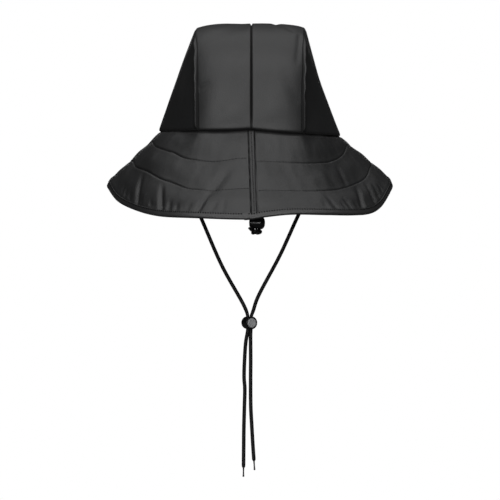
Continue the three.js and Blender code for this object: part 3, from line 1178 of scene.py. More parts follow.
@dataclass(frozen=True)
class Finish:
    """A material with a dark base, its sheen, random tone, and painted shade where it
    is asked for.
    """

    title: str
    colour: tuple[float, float, float]
    roughness: float
    slot: Slot
    spread: float = 0.06
    relief: float = 0.00008

    def material(self) -> bpy.types.Material:
        """The finish as a material, built the first time it is asked for.

        Returns:
            The material.
        """
        found = bpy.data.materials.get(self.title)
        if found:
            return found
        material = bpy.data.materials.new(self.title)
        material.use_nodes = True
        board = Board(material.node_tree)
        shader = material.node_tree.nodes["Principled BSDF"]
        self.wire(board, shader)
        return material

    def wire(self, board: Board, shader: bpy.types.Node) -> None:
        """Joins the finish's nodes to the shader; each kind has its own."""
        raise NotImplementedError

    def lay(
        self,
        board: Board,
        shader: bpy.types.Node,
        effect: bpy.types.NodeTree,
        numbers: dict[str, float],
        patterned: bool = False,
        pinched: bool = False,
    ) -> None:
        """Lays a shared effect over the piece and joins it to the shader.

        Args:
            board: The material's board.
            shader: Its shader.
            effect: The effect's node group.
            numbers: The numbers that it takes, by name.
            patterned: Whether it follows the pattern's own coordinates.
            pinched: Whether the colour is darkened with painted shade in seams,
                stitched rows and crevices.
        """
        if patterned:
            place = board.add("ShaderNodeUVMap").outputs["UV"]
        else:
            place = board.add("ShaderNodeTexCoord").outputs["Object"]
        node = board.add("ShaderNodeGroup", node_tree=effect)
        board.join(place, node.inputs["Place"])
        for name, value in numbers.items():
            node.inputs[name].default_value = value
        # Painted shade: the mesh's shade attribute, read here, darkens the colour in
        # seams and crevices.
        painted_shade = None
        if pinched:
            seam_shade_node = board.add("ShaderNodeAttribute", attribute_name="painted_shade")
            painted_shade = seam_shade_node.outputs["Fac"]
        self.tint(board, shader, node.outputs["Tone"], painted_shade)
        self.bump(board, shader, node.outputs["Height"])

    def tint(
        self,
        board: Board,
        shader: bpy.types.Node,
        tone: bpy.types.NodeSocket,
        painted_shade: bpy.types.NodeSocket | None = None,
    ) -> None:
        """Varies the base colour and roughness over a tone, and darkens it with painted
        shade.

        Args:
            board: The material's board.
            shader: Its shader.
            tone: A value from 0 to 1 over the surface.
            painted_shade: How much shade is painted into the colour, in seams and
                crevices, if anywhere.
        """
        ramp = board.add("ShaderNodeMix", data_type="RGBA")
        board.join(tone, ramp.inputs["Factor"])
        ramp.inputs["A"].default_value = (*(c * 0.78 for c in self.colour), 1)
        ramp.inputs["B"].default_value = (*(c * 1.24 for c in self.colour), 1)
        low, high = self.roughness - self.spread, self.roughness + self.spread
        rough = board.spread(tone, low, high)
        colour = ramp.outputs["Result"]
        if painted_shade is not None:
            # Painted shade: the colour falls towards 0.12 of itself where seams and
            # crevices would lie in shadow.
            dark = board.add("ShaderNodeMix", data_type="RGBA")
            board.join(painted_shade, dark.inputs["Factor"])
            board.join(colour, dark.inputs["A"])
            dark.inputs["B"].default_value = (*(c * 0.12 for c in self.colour), 1)
            colour = dark.outputs["Result"]
            rough = board.math("MAXIMUM", rough, board.math("MULTIPLY", painted_shade, 0.95))
        board.join(colour, shader.inputs["Base Color"])
        board.join(rough, shader.inputs["Roughness"])

    def bump(
        self, board: Board, shader: bpy.types.Node, height: bpy.types.NodeSocket
    ) -> None:
        """Feeds a height to the shader's normal.

        Args:
            board: The material's board.
            shader: Its shader.
            height: The height.
        """
        node = board.add("ShaderNodeBump")
        node.inputs["Distance"].default_value = self.relief
        board.join(height, node.inputs["Height"])
        board.join(node.outputs["Normal"], shader.inputs["Normal"])


@dataclass(frozen=True)
class CoatedCloth(Finish):
    """Waterproof coated cloth: dark, with a broad soft sheen."""

    pebble: float = 1500.0
    drift: float = 34.0

    def wire(self, board: Board, shader: bpy.types.Node) -> None:
        """Joins pebbled grain, drifting tone and painted shade in the seams to the
        shader.
        """
        numbers = {"Pebble Scale": self.pebble, "Drift Scale": self.drift}
        self.lay(board, shader, Effects.grain(), numbers, pinched=True)


@dataclass(frozen=True)
class WovenCloth(Finish):
    """Uncoated woven cloth, as on the hat's inside and the tapes."""

    threads: float = 1300.0

    def wire(self, board: Board, shader: bpy.types.Node) -> None:
        """Joins a plain weave on the pattern's coordinates to the shader."""
        numbers = {"Threads": self.threads}
        # Painted shade in seams and crevices, as on the coated cloth.
        self.lay(board, shader, Effects.weave(), numbers, patterned=True, pinched=True)


@dataclass(frozen=True)
class BraidedCord(Finish):
    """Round braided cord."""

    strands: float = 6.0
    pitch: float = 420.0
    gloss: float = 0.5

    def wire(self, board: Board, shader: bpy.types.Node) -> None:
        """Joins the braid on the cord's own coordinates to the shader."""
        shader.inputs["Specular IOR Level"].default_value = self.gloss
        numbers = {"Strands": self.strands, "Pitch": self.pitch}
        self.lay(board, shader, Effects.braid(), numbers, patterned=True)


@dataclass(frozen=True)
class MouldedPlastic(Finish):
    """Satin moulded plastic with a faint spark-eroded texture."""

    spread: float = 0.05
    relief: float = 0.00003
    pebble: float = 4200.0
    drift: float = 260.0

    def wire(self, board: Board, shader: bpy.types.Node) -> None:
        """Joins fine mould texture and slow tone to the shader."""
        numbers = {"Pebble Scale": self.pebble, "Drift Scale": self.drift}
        self.lay(board, shader, Effects.grain(), numbers)


class Wardrobe:
    """Every finish of the hat."""

    OUTER = CoatedCloth(
        "Coated cloth", (0.0088, 0.009, 0.0093), 0.52, Slot.CLOTH, 0.05, 0.00022
    )
    INNER = WovenCloth(
        "Woven backing", (0.022, 0.022, 0.023), 0.85, Slot.CLOTH, 0.05, 0.00012
    )
    TAPE = CoatedCloth(
        "Binding tape", (0.017, 0.017, 0.0175), 0.46, Slot.TAPE, 0.05, 0.0001
    )
    STRAP = WovenCloth(
        "Tab tape", (0.010, 0.010, 0.0105), 0.7, Slot.TAPE, 0.05, 0.00014
    )
    THREAD = BraidedCord(
        "Sewing thread",
        (0.005, 0.005, 0.005),
        0.75,
        Slot.TAPE,
        0.05,
        0.00003,
        strands=3.0,
        pitch=1400.0,
        gloss=0.08,
    )
    CORD = BraidedCord(
        "Braided cord",
        (0.0035, 0.0035, 0.0038),
        0.55,
        Slot.CORD,
        relief=0.00022,
        gloss=0.3,
    )
    TIP = MouldedPlastic(
        "Sealed cord tip", (0.012, 0.012, 0.0125), 0.4, Slot.CORD, 0.08, 0.00004
    )
    LOCK = MouldedPlastic(
        "Black lock plastic", (0.006, 0.006, 0.0065), 0.24, Slot.BLACK_PLASTIC
    )
    BUTTON = MouldedPlastic(
        "Grey lock plastic", (0.36, 0.366, 0.374), 0.42, Slot.GREY_PLASTIC
    )


def hand_over(
    piece: bpy.types.Object,
    finish: Finish,
    nodes: Sequence[str] = (),
    body: Body = Body.HAT,
    inner: Finish | None = None,
) -> bpy.types.Object:
    """Dresses a finished piece and puts it on the frame.

    Args:
        piece: The piece, at the origin.
        finish: Its finish.
        nodes: The frame's nodes that it stands for.
        body: The body that it rides on.
        inner: The finish of its inner face, if that differs.

    Returns:
        The same piece.
    """
    piece.data.materials.clear()
    piece.data.materials.append(finish.material())
    if inner is not None:
        piece.data.materials.append(inner.material())
    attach(piece, body.value)
    if nodes:
        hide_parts(*nodes)
    piece.data.calc_loop_triangles()
    LOG.info("%s: %d triangles", piece.name, len(piece.data.loop_triangles))
    return piece


# ----- stitches


@dataclass(frozen=True)
class Stitching:
    """A row of sewn stitches, one stitch modelled and copied along a line."""

    pitch: float = 2.6
    length: float = 1.7
    width: float = 0.55
    height: float = 0.4

    def stitch(self) -> bpy.types.Object:
        """One stitch: a small flattened ellipsoid of thread.

        Returns:
            The stitch.
        """
        Bench.clear()
        bpy.ops.mesh.primitive_uv_sphere_add(segments=6, ring_count=4, radius=0.5)
        loop = bpy.context.object
        bpy.ops.object.mode_set(mode="EDIT")
        bpy.ops.mesh.select_all(action="SELECT")
        bpy.ops.transform.rotate(
            value=math.pi / 2, orient_axis="Y", center_override=(0, 0, 0)
        )
        bpy.ops.transform.resize(value=(self.length, self.width, self.height))
        Bench.close(loop)
        loop.data.transform(Matrix.Scale(MM, 4))
        return loop

    def sew(
        self, name: str, line: Sequence[tuple[Vector, Vector]]
    ) -> bpy.types.Object:
        """Copies the stitch along a line.

        Args:
            name: The row's name.
            line: Points of the line with the way out of the cloth at each, in
                millimetres.

        Returns:
            The row as one piece.
        """
        loop = self.stitch()
        row = bmesh.new()
        due = 0.0
        for (a, out_a), (b, _) in zip(line, line[1:]):
            span = (b - a).length
            while due < span:
                way = (b - a) / span
                out = (out_a - way * out_a.dot(way)).normalized()
                place = Matrix.Identity(4)
                for column, axis in enumerate((way, out.cross(way), out)):
                    for line_no in range(3):
                        place[line_no][column] = axis[line_no]
                place.translation = (a + way * due) * MM
                copy = loop.data.copy()
                copy.transform(place)
                row.from_mesh(copy)
                bpy.data.meshes.remove(copy)
                due += self.pitch
            due -= span
        row.to_mesh(loop.data)
        row.free()
        loop.name = loop.data.name = name
        for face in loop.data.polygons:
            face.use_smooth = True
        return hand_over(loop, Wardrobe.THREAD)


class Sewing:
    """The hat's own kinds of stitching."""

    ROW = Stitching(3.0, 2.1, 0.5, 0.4)
    BINDING = Stitching(2.4, 1.5, 1.7, 0.6)
    BACK_SEAM = Stitching(2.5, 1.5, 0.95, 0.5)


# ----- crown


@dataclass(frozen=True)
class Dent:
    """A small crease in the strips, between two (x, z) places of its back half."""

    start: tuple[float, float]
    end: tuple[float, float]
    width: float
    depth: float


@dataclass
class Crown:
    """The crown: two strips over the head and a panel at each side."""

    form: CrownForm
    wall: float = 1.4
    valley: float = 0.7
    valley_depth: float = 0.8
    pillow: float = 1.5
    ribbon: float = 2.3
    ribbon_reach: float = 5.6
    slit: float = 0.6
    slit_depth: float = 1.3
    edge_width: float = 1.3
    edge_drop: float = 1.2
    marks: tuple[Dent, ...] = (
        Dent((24, 110), (41, 99), 2.0, 1.0),
        Dent((-8, 104), (-36, 92), 5.0, 0.7),
        Dent((48, 92), (45, 66), 2.6, 0.9),
        Dent((-48.5, 40), (-40, 44), 2.2, 0.8),
        Dent((44, 30), (30, 62), 6.0, 0.5),
        Dent((-28, 20), (-8, 52), 7.0, 0.4),
    )

    @staticmethod
    def turns() -> list[float]:
        """Stops along the arc, close together at both lower edges.

        Returns:
            The stops, from 0 to 1.
        """
        foot = [0, 0.0006, 0.0013, 0.0022, 0.0033, 0.0048, 0.007, 0.01, 0.014, 0.02]
        half = foot + [0.0275 + 0.0075 * i for i in range(64)]
        half = [stop for stop in half if stop < 0.4999] + [0.5]
        return half + [1 - stop for stop in reversed(half[:-1])]

    @staticmethod
    def spaced(low: Sequence[float], step: float, high: Sequence[float]) -> list[float]:
        """Even stops between two given runs of close ones.

        Args:
            low: The first run.
            step: About how far apart the even ones are.
            high: The last run.

        Returns:
            All the stops.
        """
        start, end = low[-1], high[0]
        count = max(1, round((end - start) / step))
        middle = [mix(start, end, i / count) for i in range(1, count)]
        return [*low, *middle, *high]

    @staticmethod
    def wander(side: Side, turn: float) -> float:
        """How far a side seam strays from its line, as sewing leaves it."""
        place = Vector((turn * 3.2, side.value * 5, 0.7))
        return 1.1 * noise.noise(place) * math.sin(turn) ** 0.5

    def dents(self, x: float, y: float, z: float) -> float:
        """How far the strips' cloth sinks at a place, by its small creases.

        Args:
            x: X of the place.
            y: Its Y.
            z: Its height.

        Returns:
            The depth there.
        """
        sink = 0.35 * noise.noise(Vector((x / 17, y / 26, z / 30)))
        if y >= 10:
            return sink
        for mark in self.marks:
            (x0, z0), (x1, z1) = mark.start, mark.end
            dx, dz = x1 - x0, z1 - z0
            t = clamp(((x - x0) * dx + (z - z0) * dz) / (dx * dx + dz * dz))
            off = math.hypot(x - x0 - t * dx, z - z0 - t * dz) / mark.width
            if off < 3:
                sink += 1.3 * mark.depth * math.exp(-off * off) * (1 - 0.6 * t)
        return sink

    def strip(self, side: Side) -> bpy.types.Object:
        """One strip, from the front seam over the head to the back seam.

        Args:
            side: Which half.

        Returns:
            The strip.
        """
        form, turns = self.form, self.turns()
        across = self.spaced(
            (0, 0.006, 0.013, 0.022, 0.034, 0.05),
            0.027,
            (0.93, 0.95, 0.965, 0.977, 0.987, 0.995, 1),
        )

        def place(i: int, j: int) -> Placed:
            """One point of the strip."""
            turn = math.pi * turns[j]
            half = form.strip_width_at(turn) + self.wander(side, turn)
            x = mix(form.seam_x, side.value * half, across[i])
            off = x - form.seam_x
            height = form.arc(x, turn, 0)[2]
            open_seam = smooth(height, 5, 15)
            inset = form.seam_drop * abs(x / half) ** 4.5
            inset += self.valley_depth * math.exp(-((off / self.valley) ** 2))
            narrow = math.exp(-((off / self.slit) ** 2)) * open_seam
            edge = clamp(1 - (half - abs(x)) / self.edge_width)
            inset += self.slit_depth * narrow + self.edge_drop * edge * edge
            across_strip = clamp(abs(off) / half)
            pillow = self.pillow * smooth(height, 2, 24) * (1 - smooth(height, 62, 100))
            inset -= pillow * math.sin(math.pi * across_strip)
            point = form.arc(x, turn, inset)
            calm = smooth(height, 2, 12) * (1 - edge)
            inset += self.dents(*point) * calm
            point = form.rolled(form.arc(x, turn, inset))
            # Painted shade in the centre seam's slit, along the strip's edges and at
            # its foot by the brim.
            foot = 1 - smooth(height - form.base_lift(x, point[1]), 0.8, 3.5)
            painted_shade = max(0.9 * narrow, edge**2, foot)
            return point, (x * MM, turns[j] * 0.36), painted_shade

        piece = Bench.cloth(
            f"strip_{side.word}",
            len(across),
            len(turns),
            place,
            lambda centre: centre - Vector((0, 0, -0.02)),
        )
        Bench.wall(piece, self.wall)
        Bench.finish(piece, 70)
        return hand_over(
            piece, Wardrobe.OUTER, [f"crown_strip_{side.word}"], inner=Wardrobe.INNER
        )

    def side_panel(self, side: Side) -> bpy.types.Object:
        """One side panel, with the turned edge of its seam standing beside it.

        Args:
            side: Which side.

        Returns:
            The panel.
        """
        form, turns = self.form, self.turns()
        up = self.spaced(
            (0, 0.006, 0.013, 0.022, 0.034, 0.05, 0.07),
            0.035,
            (0.8, 0.825, 0.85, 0.87, 0.89, 0.91, 0.93)
            + (0.945, 0.96, 0.972, 0.983, 0.992, 1),
        )

        def place(i: int, j: int) -> Placed:
            """One point of the panel."""
            stop, k = turns[j], up[i]
            turn = math.pi * stop
            half = form.strip_width_at(turn) + form.gap
            seam_x, seam_y, seam_z = form.arc(half, turn, form.seam_drop)
            stray = self.wander(side, turn)
            seam_x += stray
            fade = clamp(1 - seam_z / form.height) ** 2
            lift = form.base_lift(side.value * seam_x, seam_y)
            seam_z += (lift - form.base_lift(seam_x, seam_y)) * fade
            base_x, base_y = form.panel_base(side, stop)
            base_z = form.base_lift(side.value * base_x, base_y)
            x = mix(base_x, seam_x, k)
            x += form.bulge[side] * math.sin(math.pi * k) * math.sin(turn)
            y, z = mix(base_y, seam_y, k), mix(base_z, seam_z, k)
            beside_x, beside_y = form.seam_at(z - lift * fade, y < 0)
            way = Vector((x - beside_x - stray, y - beside_y))
            off = way.length
            # Painted shade at the panel's foot by the brim.
            painted_shade = 1 - smooth(z - base_z, 0.6, 3.0)
            stand = 0.0
            if off < self.ribbon_reach and z < 98 and stop not in (0, 1):
                t = clamp(off / self.ribbon_reach)
                fullness = 0.9 + 0.35 * noise.noise(Vector((z / 9, side.value, 2)))
                bead = math.sin(math.pi * math.sqrt(t)) * self.ribbon * fullness
                stand = bead * (1 - smooth(z, 84, 96)) * smooth(z - base_z, 1.0, 5.0)
                # Painted shade in the crease of the side seam.
                painted_shade = max(painted_shade, 1 - smooth(off, 0.2, 0.9))
            stand -= 1.4 * clamp(1 - (1 - k) * 45 / 1.6) ** 2
            out = Vector((0.91, -0.41 if y < 0 else 0.41))
            calm = smooth(z - base_z, 3, 14) * smooth(off, 3, 12)
            spot = Vector((side.value * 3 + y / 24, z / 30, 0))
            stand += 0.5 * calm * noise.noise(spot)
            point = form.rolled(
                (side.value * (x + out.x * stand), y + out.y * stand, z)
            )
            return point, (stop * 0.24, k * 0.11), painted_shade

        piece = Bench.cloth(
            f"side_{side.word}",
            len(up),
            len(turns),
            place,
            lambda centre: Vector((side.value, 0, 0.3)),
        )
        Bench.wall(piece, self.wall)
        Bench.finish(piece, 70)
        return hand_over(
            piece, Wardrobe.OUTER, [f"crown_side_{side.word}"], inner=Wardrobe.INNER
        )

    def build(self) -> None:
        """Builds both strips and both side panels."""
        for side in Side:
            self.strip(side)
            self.side_panel(side)


# ----- brim


@dataclass
class Brim:
    """The brim, its edge binding, the felled strip at its back, and its stitching."""

    form: BrimForm
    binding_width: float = 6.0
    binding_tape: float = 0.8
    lap: tuple[float, float] = (-2.9, 0.9)
    tape_arc: float = 146.0
    tape_gap: float = 0.12
    stitch_line: float = 5.1

    @staticmethod
    def angles() -> list[float]:
        """Angles round the brim, closer together where the back is seen.

        Returns:
            The angles, from -180 to 180.
        """
        ring = [-180 + 1.6 * i for i in range(50)]
        ring += [-100 + 0.75 * i for i in range(129)]
        ring += [-3.2 + 0.2 * i for i in range(44)]
        ring += [5.75 + 0.75 * i for i in range(126)]
        ring += [100.4 + 1.6 * i for i in range(50)]
        return [angle for angle in ring if angle < 179.5] + [180.0]

    def stops(self, angle: float) -> list[float]:
        """Distances from the edge at one angle, closer at the stitched rows.

        Args:
            angle: Angle round from the centre back.

        Returns:
            The distances, the crown's seam first.
        """
        length = self.form.section(angle).length
        lower, upper = self.form.rows(angle)
        near = (2.4, 1.6, 1.0, 0.5, 0, -0.5, -1.0, -1.6, -2.4)
        stops = [length - top for top in (0, 0.5, 1, 1.6, 2.4, 3.4, 4.8)]
        for row, count in ((upper, 11), (lower, 15)):
            start, end = stops[-1], row + near[0]
            stops += [mix(start, end, i / count) for i in range(1, count)]
            stops += [row + off for off in near]
        start = stops[-1]
        stops += [mix(start, 8.2, i / 17) for i in range(1, 18)]
        return stops + [7, 5.5, 3.5, 1.2]

    def shell(self) -> bpy.types.Object:
        """The brim's cloth, its top turned up inside the crown's seam.

        Returns:
            The brim.
        """
        form, angles = self.form, self.angles()
        stops = [self.stops(angle) for angle in angles]
        turned_up = 3
        rows = len(stops[0]) + turned_up

        def place(i: int, j: int) -> Placed:
            """One point of the brim, the turned up rows first."""
            angle = angles[i]
            if j < turned_up:
                edge = form.face(angle, stops[i][0])
                rise = 2.6 * (turned_up - j) / turned_up
                point = (edge.x, edge.y, edge.z + rise)
                # The turned-up rows, hidden under the crown, take full painted shade.
                return point, (math.radians(angle) * 0.12, 0.1 + rise * MM), 1.0
            from_edge = stops[i][j - turned_up]
            painted_shade = form.relief(angle, from_edge)[1]
            point = form.face(angle, from_edge)
            return tuple(point), (math.radians(angle) * 0.12, from_edge * MM), painted_shade

        piece = Bench.cloth(
            "brim_cloth",
            len(angles),
            rows,
            place,
            lambda centre: Vector((centre.x, centre.y, 0.08)),
        )
        Bench.wall(piece, form.wall)
        Bench.finish(piece, 70)
        return hand_over(piece, Wardrobe.OUTER, ["brim"], inner=Wardrobe.INNER)

    def profile(self, tape: float) -> list[tuple[float, float]]:
        """The binding's folded section as (distance from edge, height).

        Args:
            tape: The tape's thickness.

        Returns:
            Its points, outer lip first, round the fold and back inside.
        """
        low = self.form.wall / 2 + self.tape_gap
        high = low + tape
        fold = []
        for i in range(1, 8):
            turn = math.pi * i / 8
            fold.append((1.3 - 1.5 * math.sin(turn), high * math.cos(turn)))
        return [
            (self.binding_width - 0.1, low),
            (self.binding_width, low + 0.55 * tape),
            (self.binding_width - 0.35, high),
            (4.4, high - 0.12),
            (3, high + 0.05),
            (1.4, high),
            *fold,
            (1.4, -high),
            (self.binding_width - 0.3, -high),
            (self.binding_width, -low - 0.4 * tape),
            (self.binding_width - 0.1, -low),
            (1.1, -low),
            (1.1, low),
        ]

    def bound(self, angle: float, from_edge: float, height: float) -> Vector:
        """A point off the plain edge, where the binding is folded.

        Args:
            angle: Angle round from the centre back.
            from_edge: Distance in from the edge, or out past it below 0.
            height: Height above the cloth's middle line.

        Returns:
            The point.
        """
        radius, z, slope = self.form.section(angle).read(max(from_edge, 0))
        if from_edge < 0:
            radius -= from_edge * math.cos(slope)
            z += from_edge * math.sin(slope)
        return stand_off(angle, (radius, z, slope), height)

    def binding(self) -> bpy.types.Object:
        """The tape folded round the brim's edge.

        Returns:
            The binding.
        """
        angles, profile = self.angles(), self.profile(self.binding_tape)

        def place(i: int, j: int) -> Placed:
            """One point of the folded tape."""
            from_edge, height = profile[j % len(profile)]
            angle = angles[i]
            arc = math.radians(angle) * self.tape_arc
            ripple = 0.16 * noise.noise(Vector((arc / 4.5, j * 0.8, 9)))
            ripple *= smooth(abs(angle), 12, 40)
            point = self.bound(angle, from_edge, height + math.copysign(ripple, height))
            # Painted shade along the tape's inner lips, where they meet the brim.
            painted_shade = 0.85 if abs(height) < 1 and from_edge > 5 else 0.0
            return tuple(point), (arc * MM, j * 0.0015), painted_shade

        piece = Bench.cloth(
            "edge_binding",
            len(angles),
            len(profile) + 1,
            place,
            lambda centre: Vector((centre.x, centre.y, 0)),
        )
        Bench.close(piece)
        Bench.finish(piece, 50)
        return hand_over(piece, Wardrobe.TAPE, ["brim_binding"])

    def binding_lap(self) -> bpy.types.Object:
        """The lapped end of the binding, beside the centre back.

        Returns:
            The lap.
        """
        start, end = self.lap
        profile = self.profile(self.binding_tape + 0.5)[1:-3]
        count = 25

        def place(i: int, j: int) -> Placed:
            """One point of the lap."""
            from_edge, height = profile[j]
            t = i / (count - 1)
            slant = 0.9 * (1 - clamp(from_edge / self.binding_width)) * (1 - t)
            angle = mix(start, end, t) + slant
            fade = 0.75 * smooth(t, 0.25, 1.0)
            height -= math.copysign(fade, height) * clamp(abs(height))
            out = from_edge if from_edge > 1.2 else from_edge - 0.35 * (1 - t)
            point = self.bound(angle, out, height)
            # Painted shade along the lap's end where it starts.
            return tuple(point), (t * 0.01, j * 0.0015), 0.6 if i == 0 else 0.0

        piece = Bench.cloth(
            "edge_binding_lap",
            count,
            len(profile),
            place,
            lambda centre: Vector((centre.x, centre.y, 0)),
        )
        Bench.wall(piece, 0.35)
        Bench.finish(piece, 50)
        return hand_over(piece, Wardrobe.TAPE)

    def back_seam(self) -> bpy.types.Object:
        """The felled strip down the centre back.

        Returns:
            The strip.
        """
        form = self.form
        length = form.section(0).length
        half = form.seam_width / 2
        across = [
            (0.2, 0.75),
            (0.6, 0.98),
            (1.3, 1.05),
            (half - 0.5, 0.95),
            (half - 0.12, 0.5),
            (half, -0.35),
        ]
        across = [(-offset, stand) for offset, stand in reversed(across)] + across
        rows = 70

        def place(i: int, j: int) -> Placed:
            """One point of the felled strip."""
            from_edge = mix(length - 2.2, self.binding_width - 1.6, j / (rows - 1))
            offset, stand = across[i]
            x = form.seam_centre(from_edge) + offset
            angle = form.angle_for(x, from_edge)
            rise = form.wall / 2 + stand * mix(0.6, 1.0, smooth(from_edge, 6, 9))
            rise += 0.12 * math.sin(from_edge * 1.3 + offset) * (abs(offset) < 2.5)
            rise -= 0.5 * clamp(1 - (length - from_edge) / 5) * (stand > 0)
            settled = smooth(length - from_edge, 25, 80) * (offset > 1.5)
            rise -= 0.7 * settled * (stand > 0)
            point = stand_off(angle, form.section(angle).read(from_edge), rise)
            # Painted shade down the strip's middle, in its tucked-under edges and at
            # its top under the crown.
            painted_shade = 0.2 * (abs(offset) < 0.3)
            if stand < 0:
                painted_shade = 1 - 0.6 * settled
            painted_shade = max(painted_shade, 1 - smooth(length - from_edge, 2.2, 5))
            return tuple(point), (offset * MM, from_edge * MM), painted_shade

        piece = Bench.cloth(
            "back_seam_strip",
            len(across),
            rows,
            place,
            lambda centre: Vector((0, -1, 0.5)),
        )
        Bench.wall(piece, 0.5)
        Bench.finish(piece, 60)
        return hand_over(
            piece, Wardrobe.OUTER, ["brim_back_seam"], inner=Wardrobe.OUTER
        )

    def seam_clear(self, angle: float, from_edge: float) -> bool:
        """Whether a stitched row is clear of the felled strip.

        Args:
            angle: Angle round from the centre back.
            from_edge: The row's distance in from the edge there.

        Returns:
            Whether a stitch shows there.
        """
        point = self.form.face(angle, from_edge)
        offset = point.x - self.form.seam_centre(from_edge)
        return point.y > 0 or not -3.7 < offset < 5.2

    def stitching(self) -> None:
        """Sews the two rows, the binding and the felled strip."""
        form = self.form
        fine = [i * 0.4 - 180 for i in range(900)]
        for which, title in enumerate(("lower", "upper")):
            for side in Side:
                line = []
                for angle in fine:
                    if angle * side.value < 0:
                        continue
                    row = form.rows(angle)[which]
                    if self.seam_clear(angle, row):
                        point = form.face(angle, row, 0.12)
                        out = form.face(angle, row, 1.12) - point
                        line.append((point, out))
                Sewing.ROW.sew(f"{title}_row_{side.word}", line)
        line = []
        height = form.wall / 2 + self.tape_gap + self.binding_tape
        for angle in [*fine, 180.0]:
            point = self.bound(angle, self.stitch_line, height)
            line.append((point, self.bound(angle, self.stitch_line, 4) - point))
        Sewing.BINDING.sew("binding_stitches", line)
        line = []
        length = form.section(0).length
        for i in range(70):
            from_edge = mix(length - 5, 8, i / 69)
            x = form.seam_centre(from_edge)
            angle = form.angle_for(x, from_edge)
            point = self.bound(angle, from_edge, form.wall / 2 + 0.78)
            line.append((point, Vector((0, -0.86, 0.5))))
        Sewing.BACK_SEAM.sew("back_seam_stitches", line)

    def build(self) -> None:
        """Builds the brim and all that is sewn to it."""
        self.shell()
        self.binding()
        self.binding_lap()
        self.back_seam()
        self.stitching()


# ----- cords


@dataclass(frozen=True)
class Cord:
    """A round braided cord with its own route."""

    name: str
    node: str
    points: tuple[Point, ...]
    radius: float
    length: float
    far_end: str
    taper: float = 2.0
    pinched: float | None = None
    pinch_run: tuple[float, float] = (6.5, 14.0)
    fuller: float = 0.12

    def fullness(self, z: float) -> float:
        """How full the cord is at a height: the lock squeezes it, if it has one."""
        if self.pinched is None:
            return 1.0
        return 1 + self.fuller * smooth(abs(z - self.pinched), *self.pinch_run)

    def build(self, ends: Sequence[bpy.types.Object]) -> bpy.types.Object:
        """Args:
            ends: The separate pieces on it; not used.

        Returns:
            The cord.
        """
        line = route(self.points, 1.6)
        run = running_lengths(line)
        extra = [self.radius * t for t in (0.12, 0.35, 0.7)]
        path, radii = [line[0]], [0.0]
        way = (line[1] - line[0]).normalized()
        for along in extra:
            path.append(line[0] + way * along)
            radii.append(self.radius * math.sqrt(clamp(along / self.radius * 1.3)))
        for place, along in zip(line[1:-1], run[1:-1]):
            left = run[-1] - along
            full = self.radius * self.fullness(place.z)
            radii.append(full * clamp(0.55 + 0.45 * left / self.taper))
            path.append(place)
        way = (line[-1] - line[-2]).normalized()
        path.append(line[-1] - way * 0.25)
        radii.append(self.radius * 0.5)
        path.append(line[-1])
        radii.append(0.0)
        piece = Bench.tube(self.name, path, radii, 14)
        Bench.finish(piece, 75)
        hand_over(piece, Wardrobe.CORD, [self.node])
        LOG.info("%s: %.1f mm along its route", self.name, run[-1])
        return piece


@dataclass(frozen=True)
class CordTip:
    """The thin sealed end of a chin cord."""

    side: Side
    radius: float = 0.8
    length: float = 8.4

    def build(self, points: Sequence[Point]) -> bpy.types.Object:
        """Draws the tip out of the cord's end.

        Args:
            points: The cord's route.

        Returns:
            The tip.
        """
        end = Vector(points[-1])
        way = (end - Vector(points[-2])).normalized()
        profile = (
            (-0.4, 0),
            (-0.4, 0.72),
            (0.2, 0.85),
            (0.9, 0.8),
            (self.length * 0.35, 0.72),
            (self.length * 0.7, 0.78),
            (self.length - 1.5, 0.86),
            (self.length - 0.7, 0.98),
            (self.length - 0.1, 0.9),
            (self.length + 0.2, 0.55),
            (self.length + 0.3, 0),
        )
        path = [end + way * along for along, _ in profile]
        path[1] += way * 0.05
        piece = Bench.tube(
            f"cord_tip_{self.side.word}", path, [radius for _, radius in profile], 12
        )
        Bench.finish(piece, 60)
        return hand_over(piece, Wardrobe.TIP, [f"chin_cord_tip_{self.side.word}"])


